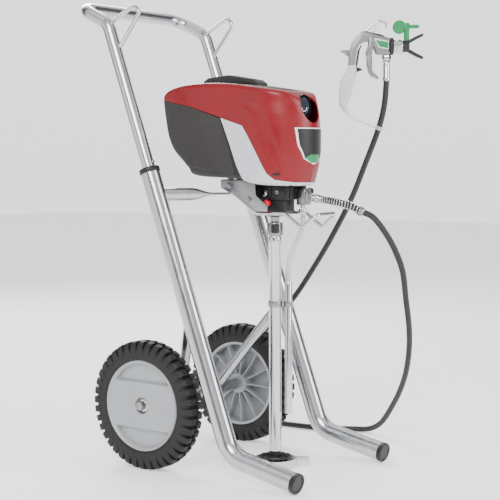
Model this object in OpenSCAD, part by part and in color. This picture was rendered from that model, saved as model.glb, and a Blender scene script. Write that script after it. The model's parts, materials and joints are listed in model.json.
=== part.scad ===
// Airless paint sprayer on a two-wheeled cart, with its hose and spray gun.
// Millimetres, +Z up, -Y to the front. Origin on the floor under the middle of the axle.

/* [Wheels] */
// Outside diameter of the tyres
wheel_d = 254; // [240:1:270]
// Width of a tyre
tyre_w = 44; // [36:1:48]
// Distance between the middles of the two wheels
track = 315; // [310:1:330]
// Diameter of the seat that carries the tyre
rim_d = 179; // [170:1:190]

/* [Cart] */
// Distance between the centre lines of the two side tubes
frame_w = 310; // [300:1:320]
// Outside diameter of the lower side tubes
side_tube_d = 38; // [34:0.5:42]
// Outside diameter of the handle tube
handle_d = 25.4; // [24:0.2:27]
// Wall of the cart's tubes
tube_wall = 1.6; // [1.2:0.1:2.4]
// Height of the collars on top of the lower side tubes
collar_z = 581; // [560:1:600]
// Height of the handle's crossbar
handle_z = 911; // [890:1:930]

/* [Pump] */
// Distance from the axle forward to the suction tube
pump_y = 197; // [190:1:204]
// Diameter of the suction tube
suction_d = 24.6; // [20:0.2:28]
// Throw of the crank pin that drives the piston
crank_throw = 6; // [4:0.5:7]
// Teeth of the crank gear, a multiple of four
gear_teeth = 48; // [44:4:52]
// Teeth of the motor pinion
pinion_teeth = 12; // [12:1:12]

/* [Hose and gun] */
// Outside diameter of the paint hose
hose_d = 12; // [9:0.5:13]
// Height of the spray axis
spray_z = 833.5; // [830:0.5:837]

/* [Hidden] */
$fn = 48;

wheel_r = wheel_d / 2;
axle_z = wheel_r;
rim_r = rim_d / 2;
axle_r = 7.95;
hub_half = 20;
side_r = side_tube_d / 2;
handle_r = handle_d / 2;
run_gap = 0.05;

// The side tubes lean back as they rise: y = lean_y + lean * z
lean_y = -221.2;
lean = 0.362;
function on_lean(z) = [0, lean_y + lean * z, z];
up = unit([0, lean, 1]);
lean_angle = atan(lean);
ahead = [0, -up.z, up.y];
side_x = frame_w / 2;

// Route of the paint hose's centre line, from the pump's end fitting to the gun's.
// Behind the right wheel it turns up from the floor.
hose_route = [
    [70, -352, 506], [84, -371, 494], [105, -388, 460], [127, -396, 425], [152, -397, 385],
    [185, -386, 328], [215, -376, 276], [240, -364, 234], [265, -347, 192], [290, -326, 153],
    [318, -296, 110], [342, -262, 68], [360, -232, 35], [370, -205, 16], [373, -180, 8],
    [366, -158, 7], [346, -122, 7], [330, -80, 7], [324, -38, 7], [321, 4, 7],
    [316, 50, 7], [304, 92, 12], [290, 118, 34], [281, 123, 68], [279, 108, 110],
    [283, 80, 160], [290, 42, 212], [295, 2, 260], [297, -42, 303], [280, -103, 371],
    [262, -161, 441], [245, -220, 523], [233, -262, 598], [222, -300, 670],
    [217, -316, 718], [215, -321.6, 766]];
gun_at = [215, -321.6, 0];
gun_turn = -53.8;

function unit(v) = v / norm(v);
function bend_angle(a, k, b) = acos(max(-1, min(1, unit(k - a) * unit(b - k))));
function corner_cut(pts, i, bend) =
    i <= 0 || i >= len(pts) - 1 ? 0 : bend * tan(bend_angle(pts[i - 1], pts[i], pts[i + 1]) / 2);

// A round bar from p to q
module rod(p, q, r) {
    v = q - p;
    translate(p)
        rotate([0, acos(v.z / norm(v)), atan2(v.y, v.x)])
            cylinder(h = norm(v), r = r);
}

// The points of the arc that rounds corner k, on the way from a to b
function arc_points(a, k, b, bend, steps) =
    let(d = unit(k - a), e = unit(b - k), n = unit(e - d * (d * e)), turn = bend_angle(a, k, b),
        c = k - d * bend * tan(turn / 2) + n * bend)
    [for (i = [0 : steps]) c + bend * (d * sin(turn * i / steps) - n * cos(turn * i / steps))];
// A route with each of its corners rounded to one radius
function rounded(pts, bend, steps) = concat([pts[0]],
    [for (i = [1 : len(pts) - 2]) each arc_points(pts[i - 1], pts[i], pts[i + 1], bend, steps)],
    [pts[len(pts) - 1]]);

module bent_bar(pts, bend, r) { sweep(rounded(pts, bend, 5), r, 12); }

// A straight tube from p to q
module tube(p, q, r) {
    difference() {
        rod(p, q, r);
        rod(p - unit(q - p), q + unit(q - p), r - tube_wall);
    }
}

// A bent tube that continues a straight one: its ends sit inside the straight tube's wall
module bent_tube(pts, bend, r) {
    route = rounded(pts, bend, 6);
    last = len(route) - 1;
    past = concat([2 * route[0] - route[1]], [for (i = [1 : last - 1]) route[i]], [2 * route[last] - route[last - 1]]);
    difference() {
        sweep(route, r - 0.1, 24);
        sweep(past, r - tube_wall + 0.2, 24);
    }
}

// A plate with the side outline pts of (y, z), from x0 to x1
module side_plate(pts, x0, x1) {
    translate([x0, 0, 0]) rotate([90, 0, 90]) linear_extrude(x1 - x0) polygon(pts);
}

module both_sides() {
    children();
    mirror([1, 0, 0]) children();
}

// ---- Cart ----
skid_tip = [0, -353, 20];
skid_corner = on_lean(50);
tube_top = on_lean(collar_z);
side_x_v = [side_x, 0, 0];
skid_along = unit(skid_tip - skid_corner);
cap_len = 9;
skid_bend = 55;
skid_bend_cut = 34;

module side_tube() {
    straight_foot = skid_corner + up * skid_bend_cut + side_x_v;
    color("silver") {
        tube(straight_foot, tube_top + side_x_v, side_r);
        bent_tube([skid_tip + side_x_v, skid_corner + side_x_v, straight_foot + up * 4], skid_bend, side_r);
    }
}
module left_side_tube() { mirror([1, 0, 0]) side_tube(); }
module right_side_tube() { side_tube(); }

// Plastic caps that close the front ends of the skids
module foot_caps() {
    tip = skid_tip + side_x_v;
    color("dimgray") both_sides() {
        rod(tip, tip + skid_along * 4, side_r + 0.6);
        rod(tip - skid_along * cap_len, tip + skid_along * 2, side_r - tube_wall);
    }
}

// Collars that guide the handle tube where it enters the lower side tubes.
// A groove at the front of each lets the spring button pass.
button_r = 3.5;
module collars() {
    top = tube_top + side_x_v;
    color("black") both_sides() difference() {
        union() {
            rod(top, top + up * 11, side_r + 1.5);
            rod(top - up * 30, top + up * 2, side_r - tube_wall);
        }
        rod(top - up * 31, top + up * 12, handle_r + run_gap);
        translate(top) rotate([-lean_angle, 0, 0]) translate([-button_r - 0.3, -handle_r - 5, -31])
            cube([2 * button_r + 0.6, 10, 60]);
    }
}

axle_tube_half = track / 2 - tyre_w / 2 - 4;
module axle_tube() {
    color("silver") translate([0, 0, axle_z]) rotate([0, 90, 0]) difference() {
        cylinder(h = 2 * axle_tube_half, r = 12.5, center = true);
        cylinder(h = 2 * axle_tube_half + 1, r = axle_r + run_gap, center = true);
    }
}
axle_half = track / 2 + hub_half + 4;
module axle_rod() {
    color("gray") translate([0, 0, axle_z]) rotate([0, 90, 0])
        cylinder(h = 2 * axle_half, r = axle_r, center = true);
}
module axle_cap_nuts() {
    color("silver") both_sides() translate([axle_half - 3.5, 0, axle_z]) rotate([0, 90, 0])
        difference() {
            union() {
                cylinder(h = 5, r = 12);
                cylinder(h = 8, r = 9.5);
            }
            translate([0, 0, -1]) cylinder(h = 4.5, r = axle_r);
        }
}

strut_foot = [56, 0, axle_z];
strut_top = [side_x, -108, 312.5];
module struts() {
    color("silver") both_sides() difference() {
        tube(strut_foot, strut_top, 10.5);
        rod([0, 0, axle_z], [axle_tube_half, 0, axle_z], 12.5);
        rod(on_lean(200) + side_x_v, on_lean(400) + side_x_v, side_r);
    }
}

// Arms that carry the mount bracket, with flattened ends under it
arm_top = [side_x, -25.7, 540];
arm_end = [46, -100, 540];
plate_x = 44;
module support_arms() {
    color("silver") both_sides() difference() {
        union() {
            tube(arm_top, arm_end + [4, 2.7, 0], 12.7);
            translate(arm_end) rotate([0, 0, 34]) translate([-24, -13, -2.5]) cube([36, 26, 5]);
        }
        rod(on_lean(450) + side_x_v, on_lean(620) + side_x_v, side_r);
    }
}

// Sheet bracket that the pump unit is bolted to
bracket_side = [[-99, 568.5], [-157, 568.5], [-183, 559], [-184, 538], [-211, 518], [-211, 507], [-178, 507],
                [-130, 538], [-99, 552]];
module mount_bracket() {
    color("gainsboro") difference() {
        union() {
            side_plate(bracket_side, plate_x, plate_x + 2.5);
            side_plate(bracket_side, -plate_x - 2.5, -plate_x);
            translate([-plate_x, -150, 566]) cube([2 * plate_x, 51, 2.5]);
        }
        support_arms();
        bolt_shanks();
    }
}
// Bolts and spacers that carry the pump unit's base plate on the bracket
module at_bolts() { for (x = [-28, 28]) for (y = [-140, -110]) translate([x, y, 566]) children(); }
module bolt_shanks() { at_bolts() cylinder(h = 16, r = 3); }
module bracket_bolts() {
    color("silver") at_bolts() {
        cylinder(h = base_z + 4 - 566, r = 3);
        translate([0, 0, 2.5]) cylinder(h = base_z - 568.5, r = 6);
        translate([0, 0, -4]) cylinder(h = 4, r = 5.5);
    }
}

// Bent rod under the pump that a paint pail hangs from
hook_x = 35;
hook_rod_r = 4;
hook_side = [[-121, 561], [-167, 509], [-181, 503], [-246, 503], [-285, 476], [-316, 503]];
hook_route = concat([for (p = hook_side) [-hook_x, p.x, p.y]],
                    [for (i = [len(hook_side) - 1 : -1 : 0]) [hook_x, hook_side[i].x, hook_side[i].y]]);
module pail_hook() { color("silver") bent_bar(hook_route, 10, hook_rod_r); }

// ---- Handle ----
handle_in = 150;
handle_foot = tube_top - up * handle_in;
handle_back_z = handle_z - 36;
handle_bend_z = handle_back_z - 34;
handle_corners = [on_lean(handle_bend_z - 4), on_lean(handle_back_z), [0, 172, handle_z]];
module handle_tube() {
    route = concat([for (p = handle_corners) p - side_x_v],
                   [for (i = [2 : -1 : 0]) handle_corners[i] + side_x_v]);
    color("silver") difference() {
        union() {
            both_sides() tube(handle_foot + side_x_v, on_lean(handle_bend_z) + side_x_v, handle_r);
            bent_tube(route, 38, handle_r);
        }
        both_sides() snap_rod(button_r + run_gap, 2);
    }
}
loop_x = side_x - 5;
module handle_loops() {
    color("silver") both_sides() translate([loop_x, 0, 0]) difference() {
        bent_bar([[0, 96, 874], [0, 31, 907], [0, 17, 893], [0, 76, 820]], 9, 4);
        translate([5, 0, 0]) rod(on_lean(700), on_lean(handle_back_z + 30), handle_r);
    }
}
// Plastic plugs that guide the lower ends of the handle tube inside the side tubes
module handle_guides() {
    color("black") both_sides() translate(handle_foot + side_x_v) {
        rod(-up * 18, [0, 0, 0], side_r - tube_wall - run_gap);
        rod(-up * 2, up * 12, handle_r - tube_wall);
    }
}
// Spring buttons above the collars that lock the handle up
module snap_rod(r, extra) {
    at = tube_top + up * 19 + side_x_v;
    rod(at + ahead * (6 - extra), at + ahead * (handle_r + 4 + extra), r);
}
module right_snap_button() { color("gray") snap_rod(button_r, 0); }
module left_snap_button() { mirror([1, 0, 0]) right_snap_button(); }

// ---- Wheels ----
tyre_section = [for (a = [-90 : 15 : 90]) [rim_r + 14 + (wheel_r - rim_r - 14) * cos(a) ^ 0.5,
                                          tyre_w / 2 * sin(a)]];
module tyre(x) {
    color([0.1, 0.1, 0.11]) translate([x, 0, axle_z]) rotate([0, 90, 0])
        rotate_extrude($fn = 96)
            polygon(concat([[rim_r, -tyre_w / 2]], tyre_section, [[rim_r, tyre_w / 2]]));
}
// Moulded rim: a closed disc outside, and radial ribs inside. side is 1 for the right wheel.
module rim(side) {
    color("lightgray") translate([side * track / 2, 0, axle_z]) rotate([0, side * 90, 0]) {
        difference() {
            union() {
                difference() {
                    cylinder(h = tyre_w - 4, r = rim_r, center = true, $fn = 96);
                    translate([0, 0, -tyre_w]) cylinder(h = tyre_w + 12, r = rim_r - 6, $fn = 96);
                }
                translate([0, 0, -hub_half]) cylinder(h = 2 * hub_half - 2, r = 24);
                for (a = [0 : 30 : 359]) rotate([0, 0, a])
                    translate([20, -1.25, -14]) cube([rim_r - 23, 2.5, 28]);
            }
            translate([0, 0, -hub_half - 1]) cylinder(h = 2 * hub_half + 6, r = axle_r + run_gap);
            translate([0, 0, 14]) cylinder(h = 10, r = 16);
        }
    }
}
module left_tyre() { tyre(-track / 2); }
module left_rim() { rim(-1); }
module right_tyre() { tyre(track / 2); }
module right_rim() { rim(1); }

// ---- Pump unit: covers ----
// Outer and inner side outlines (y, z), and the plan outline of the nose
cover_side = [[-96, 757], [-40, 756], [2, 751], [24, 740], [29, 726], [13, 635], [-35, 592], [-44, 574],
              [-157, 571], [-190, 560], [-270, 556], [-279, 560], [-286, 590], [-290, 618],
              [-290, 668], [-287, 692], [-278, 716], [-263, 731], [-248, 738], [-160, 752]];
cover_room = [[-96, 751], [-40, 750], [-2, 746], [18, 736], [23, 724], [8, 638], [-39, 598], [-50, 580],
              [-157, 577], [-190, 566], [-268, 562], [-275, 566], [-280, 592], [-284, 618],
              [-284, 666], [-281, 690], [-273, 711], [-260, 725], [-247, 732], [-160, 746]];
half_w = 74;
nose_r = 78;
module plan_outline(half, reach) {
    intersection() {
        translate([-half, -reach]) square([2 * half, 400]);
        union() {
            translate([0, -reach + nose_r]) circle(nose_r, $fn = 96);
            translate([-half, -reach + nose_r]) square([2 * half, 260]);
        }
    }
}
module cover_shell() {
    difference() {
        intersection() {
            side_plate(cover_side, -half_w, half_w);
            translate([0, 0, 540]) linear_extrude(240) plan_outline(half_w, 290);
        }
        intersection() {
            side_plate(cover_room, -half_w + 4, half_w - 4);
            translate([0, 0, 540]) linear_extrude(240) plan_outline(half_w - 4, 285);
        }
        base_opening();
        knob_bore();
        label_plate();
    }
}
module base_opening() { translate([-40, -262, 540]) cube([80, 200, 50]); }

// The lines between the red, the grey and the white covers
red_line = [[-240, 569], [-227, 580], [-205, 618], [-183, 654], [-171, 672], [-119, 688], [-43, 711],
            [29, 726]];
white_line = [[-119, 688], [-140, 639], [-157, 595], [-176.5, 560]];
red_zone = concat(red_line, [[60, 732], [60, 800], [-330, 800], [-330, 560], [-267, 564]]);
white_zone = concat([for (i = [0 : 5]) red_line[i]], [for (i = [0 : 3]) white_line[i]],
                    [[-176.5, 540], [-330, 540], [-330, 560], [-267, 564]]);
module red_cover() {
    color([0.68, 0.1, 0.17]) intersection() {
        cover_shell();
        side_plate(red_zone, -100, 100);
    }
}
module white_cover() {
    color([0.88, 0.88, 0.89]) intersection() {
        cover_shell();
        side_plate(white_zone, -100, 100);
    }
}
module grey_cover() {
    color([0.22, 0.21, 0.21]) difference() {
        cover_shell();
        side_plate(red_zone, -100, 100);
        side_plate(white_zone, -100, 100);
        inlet_run(11);
        translate([half_w - 12, switch_y - 14, switch_z - 12.5]) cube([20, 28, 25]);
    }
}

// Plate that closes the covers below and carries the gear frame
base_z = 577;
module base_plate() {
    color("black") difference() {
        translate([-66, -250, base_z]) cube([132, 196, 4]);
        translate([0, -pump_y, 560]) cylinder(h = 60, r = 12);
        cover_shell();
        bolt_shanks();
    }
}

// Carrying handle across the top
handle_grip = [[-32, 756], [-34, 764], [-46, 770], [-96, 774], [-158, 763], [-169, 756], [-169, 745],
               [-160, 745], [-156, 752], [-142, 756], [-96, 762], [-52, 760], [-40, 754], [-32, 748]];
module carry_handle() {
    color([0.2, 0.2, 0.2]) difference() {
        side_plate(handle_grip, -16, 16);
        cover_shell();
        side_plate(cover_room, -30, 30);
    }
}

// Shield-shaped plate on the nose
label_axis = [0, -262, 634];
module label_plate() {
    color([0.1, 0.13, 0.1]) intersection() {
        difference() {
            translate([0, 0, 540]) linear_extrude(240) plan_outline(half_w, 290.4);
            translate([0, 0, 540]) linear_extrude(240) plan_outline(half_w - 2, 288);
        }
        translate([0, -200, 0]) rotate([90, 0, 0]) linear_extrude(120)
            polygon([[-44, 664], [44, 664], [40, 632], [28, 606], [0, 597], [-28, 606], [-40, 632]]);
    }
}

// ---- Pump unit: drive ----
tooth_module = 2;
mesh_angle = 20;
gear_y = -178;
gear_z = 640;
gear_w = 10;
function involute(a) = tan(a) * 180 / PI - a;
function half_tooth(n, r) = 90 / n + involute(mesh_angle) - 0.5
    - involute(acos(min(1, tooth_module * n / 2 * cos(mesh_angle) / r)));
function tooth_radii(n) = let(p = tooth_module * n / 2, b = max(p * cos(mesh_angle), p - 0.8 * tooth_module))
    [for (k = [0 : 3]) b + (p + 0.85 * tooth_module - b) * k / 3];
function ring_point(r, a) = [r * cos(a), r * sin(a)];
// Gear outline with involute flanks
function gear_outline(n) = let(root = tooth_module * (n / 2 - 1.25), radii = tooth_radii(n))
    [for (i = [0 : n - 1]) let(mid = i * 360 / n) each concat(
        [ring_point(root, mid - half_tooth(n, radii[0]) - 0.3)],
        [for (r = radii) ring_point(r, mid - half_tooth(n, r))],
        [for (k = [3 : -1 : 0]) ring_point(radii[k], mid + half_tooth(n, radii[k]))],
        [ring_point(root, mid + half_tooth(n, radii[0]) + 0.3)])];
// The motor sits above and to one side of the crank gear
gear_distance = tooth_module * (gear_teeth + pinion_teeth) / 2;
rotor_z = gear_z + gear_distance;
shaft_r = 4;
crank_pin_r = 4;

module along_y(y, z) { translate([0, y, z]) rotate([90, 0, 0]) children(); }

module crank_gear() {
    color("goldenrod") along_y(gear_y, gear_z) union() {
        difference() {
            linear_extrude(gear_w) polygon(gear_outline(gear_teeth));
            translate([0, 0, -1]) cylinder(h = gear_w + 2, r = 6);
        }
        translate([0, 0, -14]) cylinder(h = gear_w + 16, r = 6);
        translate([crank_throw, 0, gear_w]) cylinder(h = 16, r = crank_pin_r);
    }
}
rotor_back = -14;
module motor_rotor() {
    color("chocolate") union() {
        along_y(gear_y, rotor_z)
            rotate([0, 0, 180 / pinion_teeth]) linear_extrude(gear_w + 1)
                polygon(gear_outline(pinion_teeth));
        along_y(rotor_back, rotor_z) cylinder(h = -rotor_back - gear_y - 28 + 14, r = shaft_r);
        along_y(-60, rotor_z) cylinder(h = 60, r = 19);
        along_y(-36, rotor_z) cylinder(h = 12, r = 14);
        along_y(-142, rotor_z) cylinder(h = 3, r = 26);
        for (a = [0 : 40 : 359]) along_y(-134, rotor_z) rotate([0, 0, a])
            translate([8, -1, 0]) cube([18, 2, 9]);
    }
}
// Field windings and can around the rotor
module motor_stator() {
    color("dimgray") difference() {
        union() {
            along_y(-56, rotor_z) cylinder(h = 68, r = 31);
            along_y(-24, rotor_z) cylinder(h = 33, r = 22);
            translate([-26, -120, base_z + 4]) cube([52, 60, rotor_z - base_z - 24]);
        }
        along_y(-55, rotor_z) cylinder(h = 100, r = 20);
        along_y(-28, rotor_z) cylinder(h = 40, r = 15);
        along_y(-20, rotor_z) cylinder(h = 100, r = shaft_r + run_gap);
    }
}
// Casting that carries the crank gear's shaft and joins the pump block to the base plate
module gear_frame() {
    color("darkgray") difference() {
        union() {
            translate([-30, gear_y + 4, base_z + 4]) cube([60, 12, 84]);
            translate([-30, gear_y - 62, base_z + 4]) cube([60, 66, 7]);
        }
        along_y(gear_y + 20, gear_z) cylinder(h = 30, r = 6 + run_gap);
        along_y(gear_y + 20, rotor_z) cylinder(h = 30, r = 12);
        translate([0, -pump_y, 560]) cylinder(h = 60, r = 12);
    }
}
// Piston with the open yoke that the crank pin turns in
piston_r = 9;
yoke_y0 = gear_y - gear_w - 14;
module piston() {
    window_w = 2 * (crank_throw + crank_pin_r + 0.5);
    window_h = window_w + 2 * crank_throw;
    color("silver") difference() {
        union() {
            translate([-window_w / 2 - 6, yoke_y0 - 3, gear_z - window_h / 2 - 6])
                cube([window_w + 12, 14, window_h + 12]);
            translate([0, -pump_y, 530]) cylinder(h = gear_z - 550, r = piston_r);
        }
        translate([-window_w / 2, yoke_y0 - 4, gear_z - window_h / 2]) cube([window_w, 16, window_h]);
    }
}
module control_board() {
    color("darkgreen") {
        translate([52, -150, 620]) cube([2, 100, 60]);
        translate([38, -130, 640]) cube([14, 30, 20]);
        for (y = [-90, -70]) translate([38, y, 650]) rotate([0, 90, 0]) cylinder(h = 14, r = 7);
    }
}
// Rocker of the power switch, which turns about a pin inside the cover
switch_y = -15;
switch_z = 665;
module power_switch() {
    color("black") translate([0, switch_y, switch_z]) rotate([90, 0, 0]) translate([0, 0, -13])
        linear_extrude(26) polygon([[60, -6], [66, -8.5], [half_w + 0.5, -9], [half_w + 1, 0],
                                    [half_w + 3, 9], [66, 8.5], [60, 6]]);
}
inlet_at = [0, 32, 646.6];
module inlet_run(r) { translate(inlet_at) rotate([80, 0, 0]) cylinder(h = 34, r = r); }
module cord_inlet() {
    color("black") difference() {
        union() {
            inlet_run(11);
            translate(inlet_at) rotate([80, 0, 0]) cylinder(h = 4, r = 13);
        }
        translate([0, 0.985, -0.174]) inlet_run(4.5);
        translate([0, -3, 0.5]) inlet_run(4.5);
    }
}

// ---- Pressure knob on the nose ----
knob_at = [0, -246, 708];
module knob_bore() { translate(knob_at + [0, 10, 0]) rotate([90, 0, 0]) cylinder(h = 70, r = 23); }
module pressure_knob() {
    color([0.08, 0.1, 0.14]) translate(knob_at) rotate([90, 0, 0]) difference() {
        union() {
            translate([0, 0, -6]) cylinder(h = 12, r = 22.5);
            cylinder(h = 20, r = 18);
            translate([0, 0, -26]) cylinder(h = 21, r = 4);
        }
        for (a = [0 : 60 : 359]) rotate([0, 0, a]) translate([20.5, 0, 7]) cylinder(h = 20, r = 5);
    }
}

// ---- Pump ----
module pump_block() {
    color("black") difference() {
        union() {
            translate([-24, -244, 530]) cube([48, 92, 27]);
            translate([-30, -244, 556]) cube([60, 92, base_z - 556]);
            translate([-18, -232, 505]) cube([36, 60, 26]);
            translate([0, -pump_y, 494]) cylinder(h = 12, r = 15);
            translate([0, -pump_y, 484]) cylinder(h = 11, r = 11);
        }
        translate([0, -pump_y, 520]) cylinder(h = 70, r = piston_r + run_gap);
        translate([0, -pump_y, 480]) cylinder(h = 41, r = 6);
        prime_bore();
        translate([12, -252, 543]) rotate([-90, 0, 0]) cylinder(h = 22, r = 5);
    }
}
// Ball and seat of the inlet valve
module inlet_valve() {
    color("silver") translate([0, -pump_y, 488]) {
        difference() {
            cylinder(h = 4, r = 6);
            translate([0, 0, -1]) cylinder(h = 6, r = 3);
        }
        translate([0, 0, 7.2]) sphere(4.2);
    }
}
// The prime button pushes in from the left, towards +X
prime_at = [-18, -pump_y, 523];
module along_prime(x) { translate(prime_at + [x, 0, 0]) rotate([0, -90, 0]) children(); }
module prime_bore() { along_prime(8) cylinder(h = 12, r = 3.5 + run_gap); }
module prime_button() {
    color([0.8, 0.08, 0.1]) {
        along_prime(4) cylinder(h = 9, r = 3.5);
        along_prime(-4) cylinder(h = 12, r = 6.5);
    }
}
// Outlet that the hose screws on to, with the branch to the return tube
guard_turn = [[25, -274, 532], [43, -303, 526], [58, -331, 518], [70, -352, 506]];
module outlet_fitting() {
    color("silver") difference() {
        union() {
            translate([6, -262, 520]) cube([24, 18, 30]);
            translate([12, -250, 543]) rotate([-90, 0, 0]) cylinder(h = 20, r = 5);
            rod([16, -256, 534], guard_turn[0], 8);
            translate([14, -252, 548]) cylinder(h = 12, r = 6, $fn = 6);
            translate([14, -253, 482]) cylinder(h = 40, r = 4.5);
            translate([14, -253, 500]) cylinder(h = 12, r = 7, $fn = 6);
        }
        translate([14, -253, 480]) cylinder(h = 60, r = 2.5);
    }
}
module coupling_nut() {
    color("black") translate([0, -pump_y, 458]) difference() {
        union() {
            cylinder(h = 26, r = 16);
            for (a = [0, 180]) rotate([0, 0, a]) translate([0, -6, 12]) cube([26, 12, 8]);
        }
        translate([0, 0, 14]) cylinder(h = 20, r = 11 + run_gap);
        translate([0, 0, -1]) cylinder(h = 20, r = 10.4);
    }
}

// ---- Suction set and return ----
suction_r = suction_d / 2;
suction_top = 457;
module suction_tube() {
    color("silver") translate([0, -pump_y, 0]) difference() {
        union() {
            translate([0, 0, 33]) cylinder(h = suction_top - 33, r = suction_r);
            translate([0, 0, suction_top]) cylinder(h = 26.5, r = 10.3);
        }
        translate([0, 0, 32]) cylinder(h = 460, r = 8.6);
    }
}
module strainer() {
    color([0.15, 0.15, 0.15]) translate([0, -pump_y, 0]) difference() {
        union() {
            translate([0, 0, 20]) cylinder(h = 4, r = 34);
            translate([0, 0, 4.5]) cylinder(h = 16, r = 24);
            translate([0, 0, 20]) cylinder(h = 13, r = 11);
            translate([0, 0, 20]) cylinder(h = 40, r = 8.5);
        }
        translate([0, 0, 10]) cylinder(h = 60, r = 6);
        for (a = [0 : 45 : 359]) rotate([0, 0, a]) translate([5, -2, 8]) cube([30, 4, 9]);
    }
}
// Loose cup that catches drips under the strainer
cup_r = 43;
module drip_cup() {
    color("whitesmoke") difference() {
        union() {
            translate([0, -pump_y, 0]) cylinder(h = 18, r = cup_r, $fn = 96);
            translate([0, -pump_y, 14]) rotate([0, 0, -54]) translate([30, -15, 0]) cube([38, 30, 4]);
        }
        translate([0, -pump_y, 3]) cylinder(h = 20, r = cup_r - 2.5, $fn = 96);
    }
}
return_at = [14, -219, 0];
return_r = 7.5;
module return_tube() {
    color("silver") translate(return_at) difference() {
        union() {
            translate([0, 0, 107]) cylinder(h = 260, r = return_r);
            translate([0, 0, 367]) cylinder(h = 22, r = 3.4);
        }
        translate([0, 0, 106]) cylinder(h = 300, r = 2);
    }
}
return_route = [[14, -219, 369], [14, -219, 395], [15, -224, 420], [16, -236, 445], [15, -248, 466],
                [14, -253, 480], [14, -253, 494]];
module return_hose() {
    color([0.93, 0.93, 0.9]) difference() {
        sweep(return_route, 5, 12);
        translate([14, -253, 481]) cylinder(h = 20, r = 4.5);
        return_tube();
    }
}
// Band that holds the return tube to the suction tube
module tube_clip() {
    color("silver") difference() {
        union() {
            translate([0, -pump_y, 318]) cylinder(h = 12, r = suction_r + 1.5);
            translate([return_at.x, return_at.y, 318]) cylinder(h = 12, r = return_r + 1.5);
            translate([7, -208, 318]) rotate([0, 0, -57.5]) translate([-10, -3, 0]) cube([20, 6, 12]);
        }
        translate([0, -pump_y, 317]) cylinder(h = 14, r = suction_r);
        translate([return_at.x, return_at.y, 317]) cylinder(h = 14, r = return_r);
    }
}

// ---- Paint hose ----
// A tube through the points of a route, with rings of n corners that don't twist
function route_way(p, i) = unit(p[min(i + 1, len(p) - 1)] - p[max(i - 1, 0)]);
function across(d, seed) = unit(seed - d * (seed * d));
function route_frames(p, i = 0, seed = [0.3, 0.2, 1]) = i >= len(p) ? [] :
    let(d = route_way(p, i), a = across(d, seed)) concat([[a, cross(d, a)]], route_frames(p, i + 1, a));
module sweep(p, r, n) {
    f = route_frames(p);
    last = len(p) - 1;
    points = [for (i = [0 : last]) for (k = [0 : n - 1])
        p[i] + r * (cos(k * 360 / n) * f[i][0] + sin(k * 360 / n) * f[i][1])];
    sides = [for (i = [0 : last - 1]) for (k = [0 : n - 1]) let(m = (k + 1) % n)
        [i * n + k, (i + 1) * n + k, (i + 1) * n + m, i * n + m]];
    polyhedron(points, concat([[for (k = [0 : n - 1]) k]], sides,
                              [[for (k = [n - 1 : -1 : 0]) last * n + k]]));
}
// A point between four route points, on a smooth curve through the middle two
function between(a, b, c, d, t) = 0.5 * (2 * b + (c - a) * t + (2 * a - 5 * b + 4 * c - d) * t ^ 2
    + (3 * b - a - 3 * c + d) * t ^ 3);
function smooth(p, n) = concat([for (i = [0 : len(p) - 2]) for (k = [0 : n - 1])
    between(p[max(i - 1, 0)], p[i], p[i + 1], p[min(i + 2, len(p) - 1)], k / n)], [p[len(p) - 1]]);

module paint_hose() { color([0.08, 0.08, 0.09]) sweep(smooth(hose_route, 2), hose_d / 2, 10); }

// Rings of the spring that keeps the hose from kinking at the pump
guard_r = 8.4;
guard_wire = 1.1;
guard_path = smooth(guard_turn, 5);
sleeve_route = [[25.6, -275, 531.8], guard_turn[1], guard_turn[2], guard_turn[3]];
module spring_guard() {
    color("silver") for (i = [1 : len(guard_path) - 2]) {
        d = route_way(guard_path, i);
        translate(guard_path[i]) rotate([0, acos(d.z), atan2(d.y, d.x)])
            rotate_extrude($fn = 32) translate([guard_r, 0]) circle(guard_wire, $fn = 16);
    }
}
// The hose's own end at the pump: a sleeve inside the spring, and a ferrule
module hose_end_pump() {
    color("dimgray") sweep(smooth(sleeve_route, 3), 6.6, 12);
}
module hose_end_gun() {
    color("silver") translate(gun_at) difference() {
        union() {
            translate([0, 0, 766]) cylinder(h = 35, r = 6.9);
            translate([0, 0, 766]) cylinder(h = 6, r = 7.6);
        }
        translate([0, 0, 770]) cylinder(h = 40, r = 3);
    }
}

// ---- Spray gun, in its own plane: x forward along the spray, z the height above the floor ----
module gun() { translate(gun_at) rotate([0, 0, gun_turn]) children(); }
module gun_plate(pts, half) {
    rotate([90, 0, 0]) translate([0, 0, -half]) linear_extrude(2 * half) polygon(pts);
}
module gun_bar(x0, x1, r) { translate([x0, 0, spray_z]) rotate([0, 90, 0]) cylinder(h = x1 - x0, r = r); }

trigger_pivot = [-30, 0, 844];
module gun_body() {
    color("silver") gun() difference() {
        union() {
            gun_plate([[-51, 863], [-45, 864], [6, 851], [6, 817], [-24, 817], [-26, 827], [-46, 842], [-57, 838],
                       [-61, 826], [-65, 790], [-78, 788], [-76, 822], [-70, 843], [-60, 857]], 8);
            gun_plate([[-70, 826], [-94, 828], [-96, 823], [-77, 812]], 3);
            gun_bar(-22, 6, 15);
            translate([0, 0, 801]) cylinder(h = 18, r = 6);
            translate([0, 0, 807]) cylinder(h = 8, r = 8.5, $fn = 6);
        }
        gun_bar(-40, 20, 4);
        translate([0, 0, 800]) cylinder(h = 30, r = 3);
        translate(trigger_pivot) rotate([90, 0, 0]) cylinder(h = 60, r = 3, center = true);
    }
}
// Moulded grip on the frame's leg
module gun_grip() {
    color("whitesmoke") gun() difference() {
        gun_plate([[-78, 797], [-62, 797], [-61, 781], [-66, 762], [-72, 740], [-80, 714], [-74, 704],
                   [-78, 699], [-86, 702], [-95, 716], [-96, 735], [-92, 765], [-80, 780]], 11);
        gun_plate([[-61, 826], [-65, 790], [-78, 788], [-76, 822]], 8);
    }
}
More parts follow.
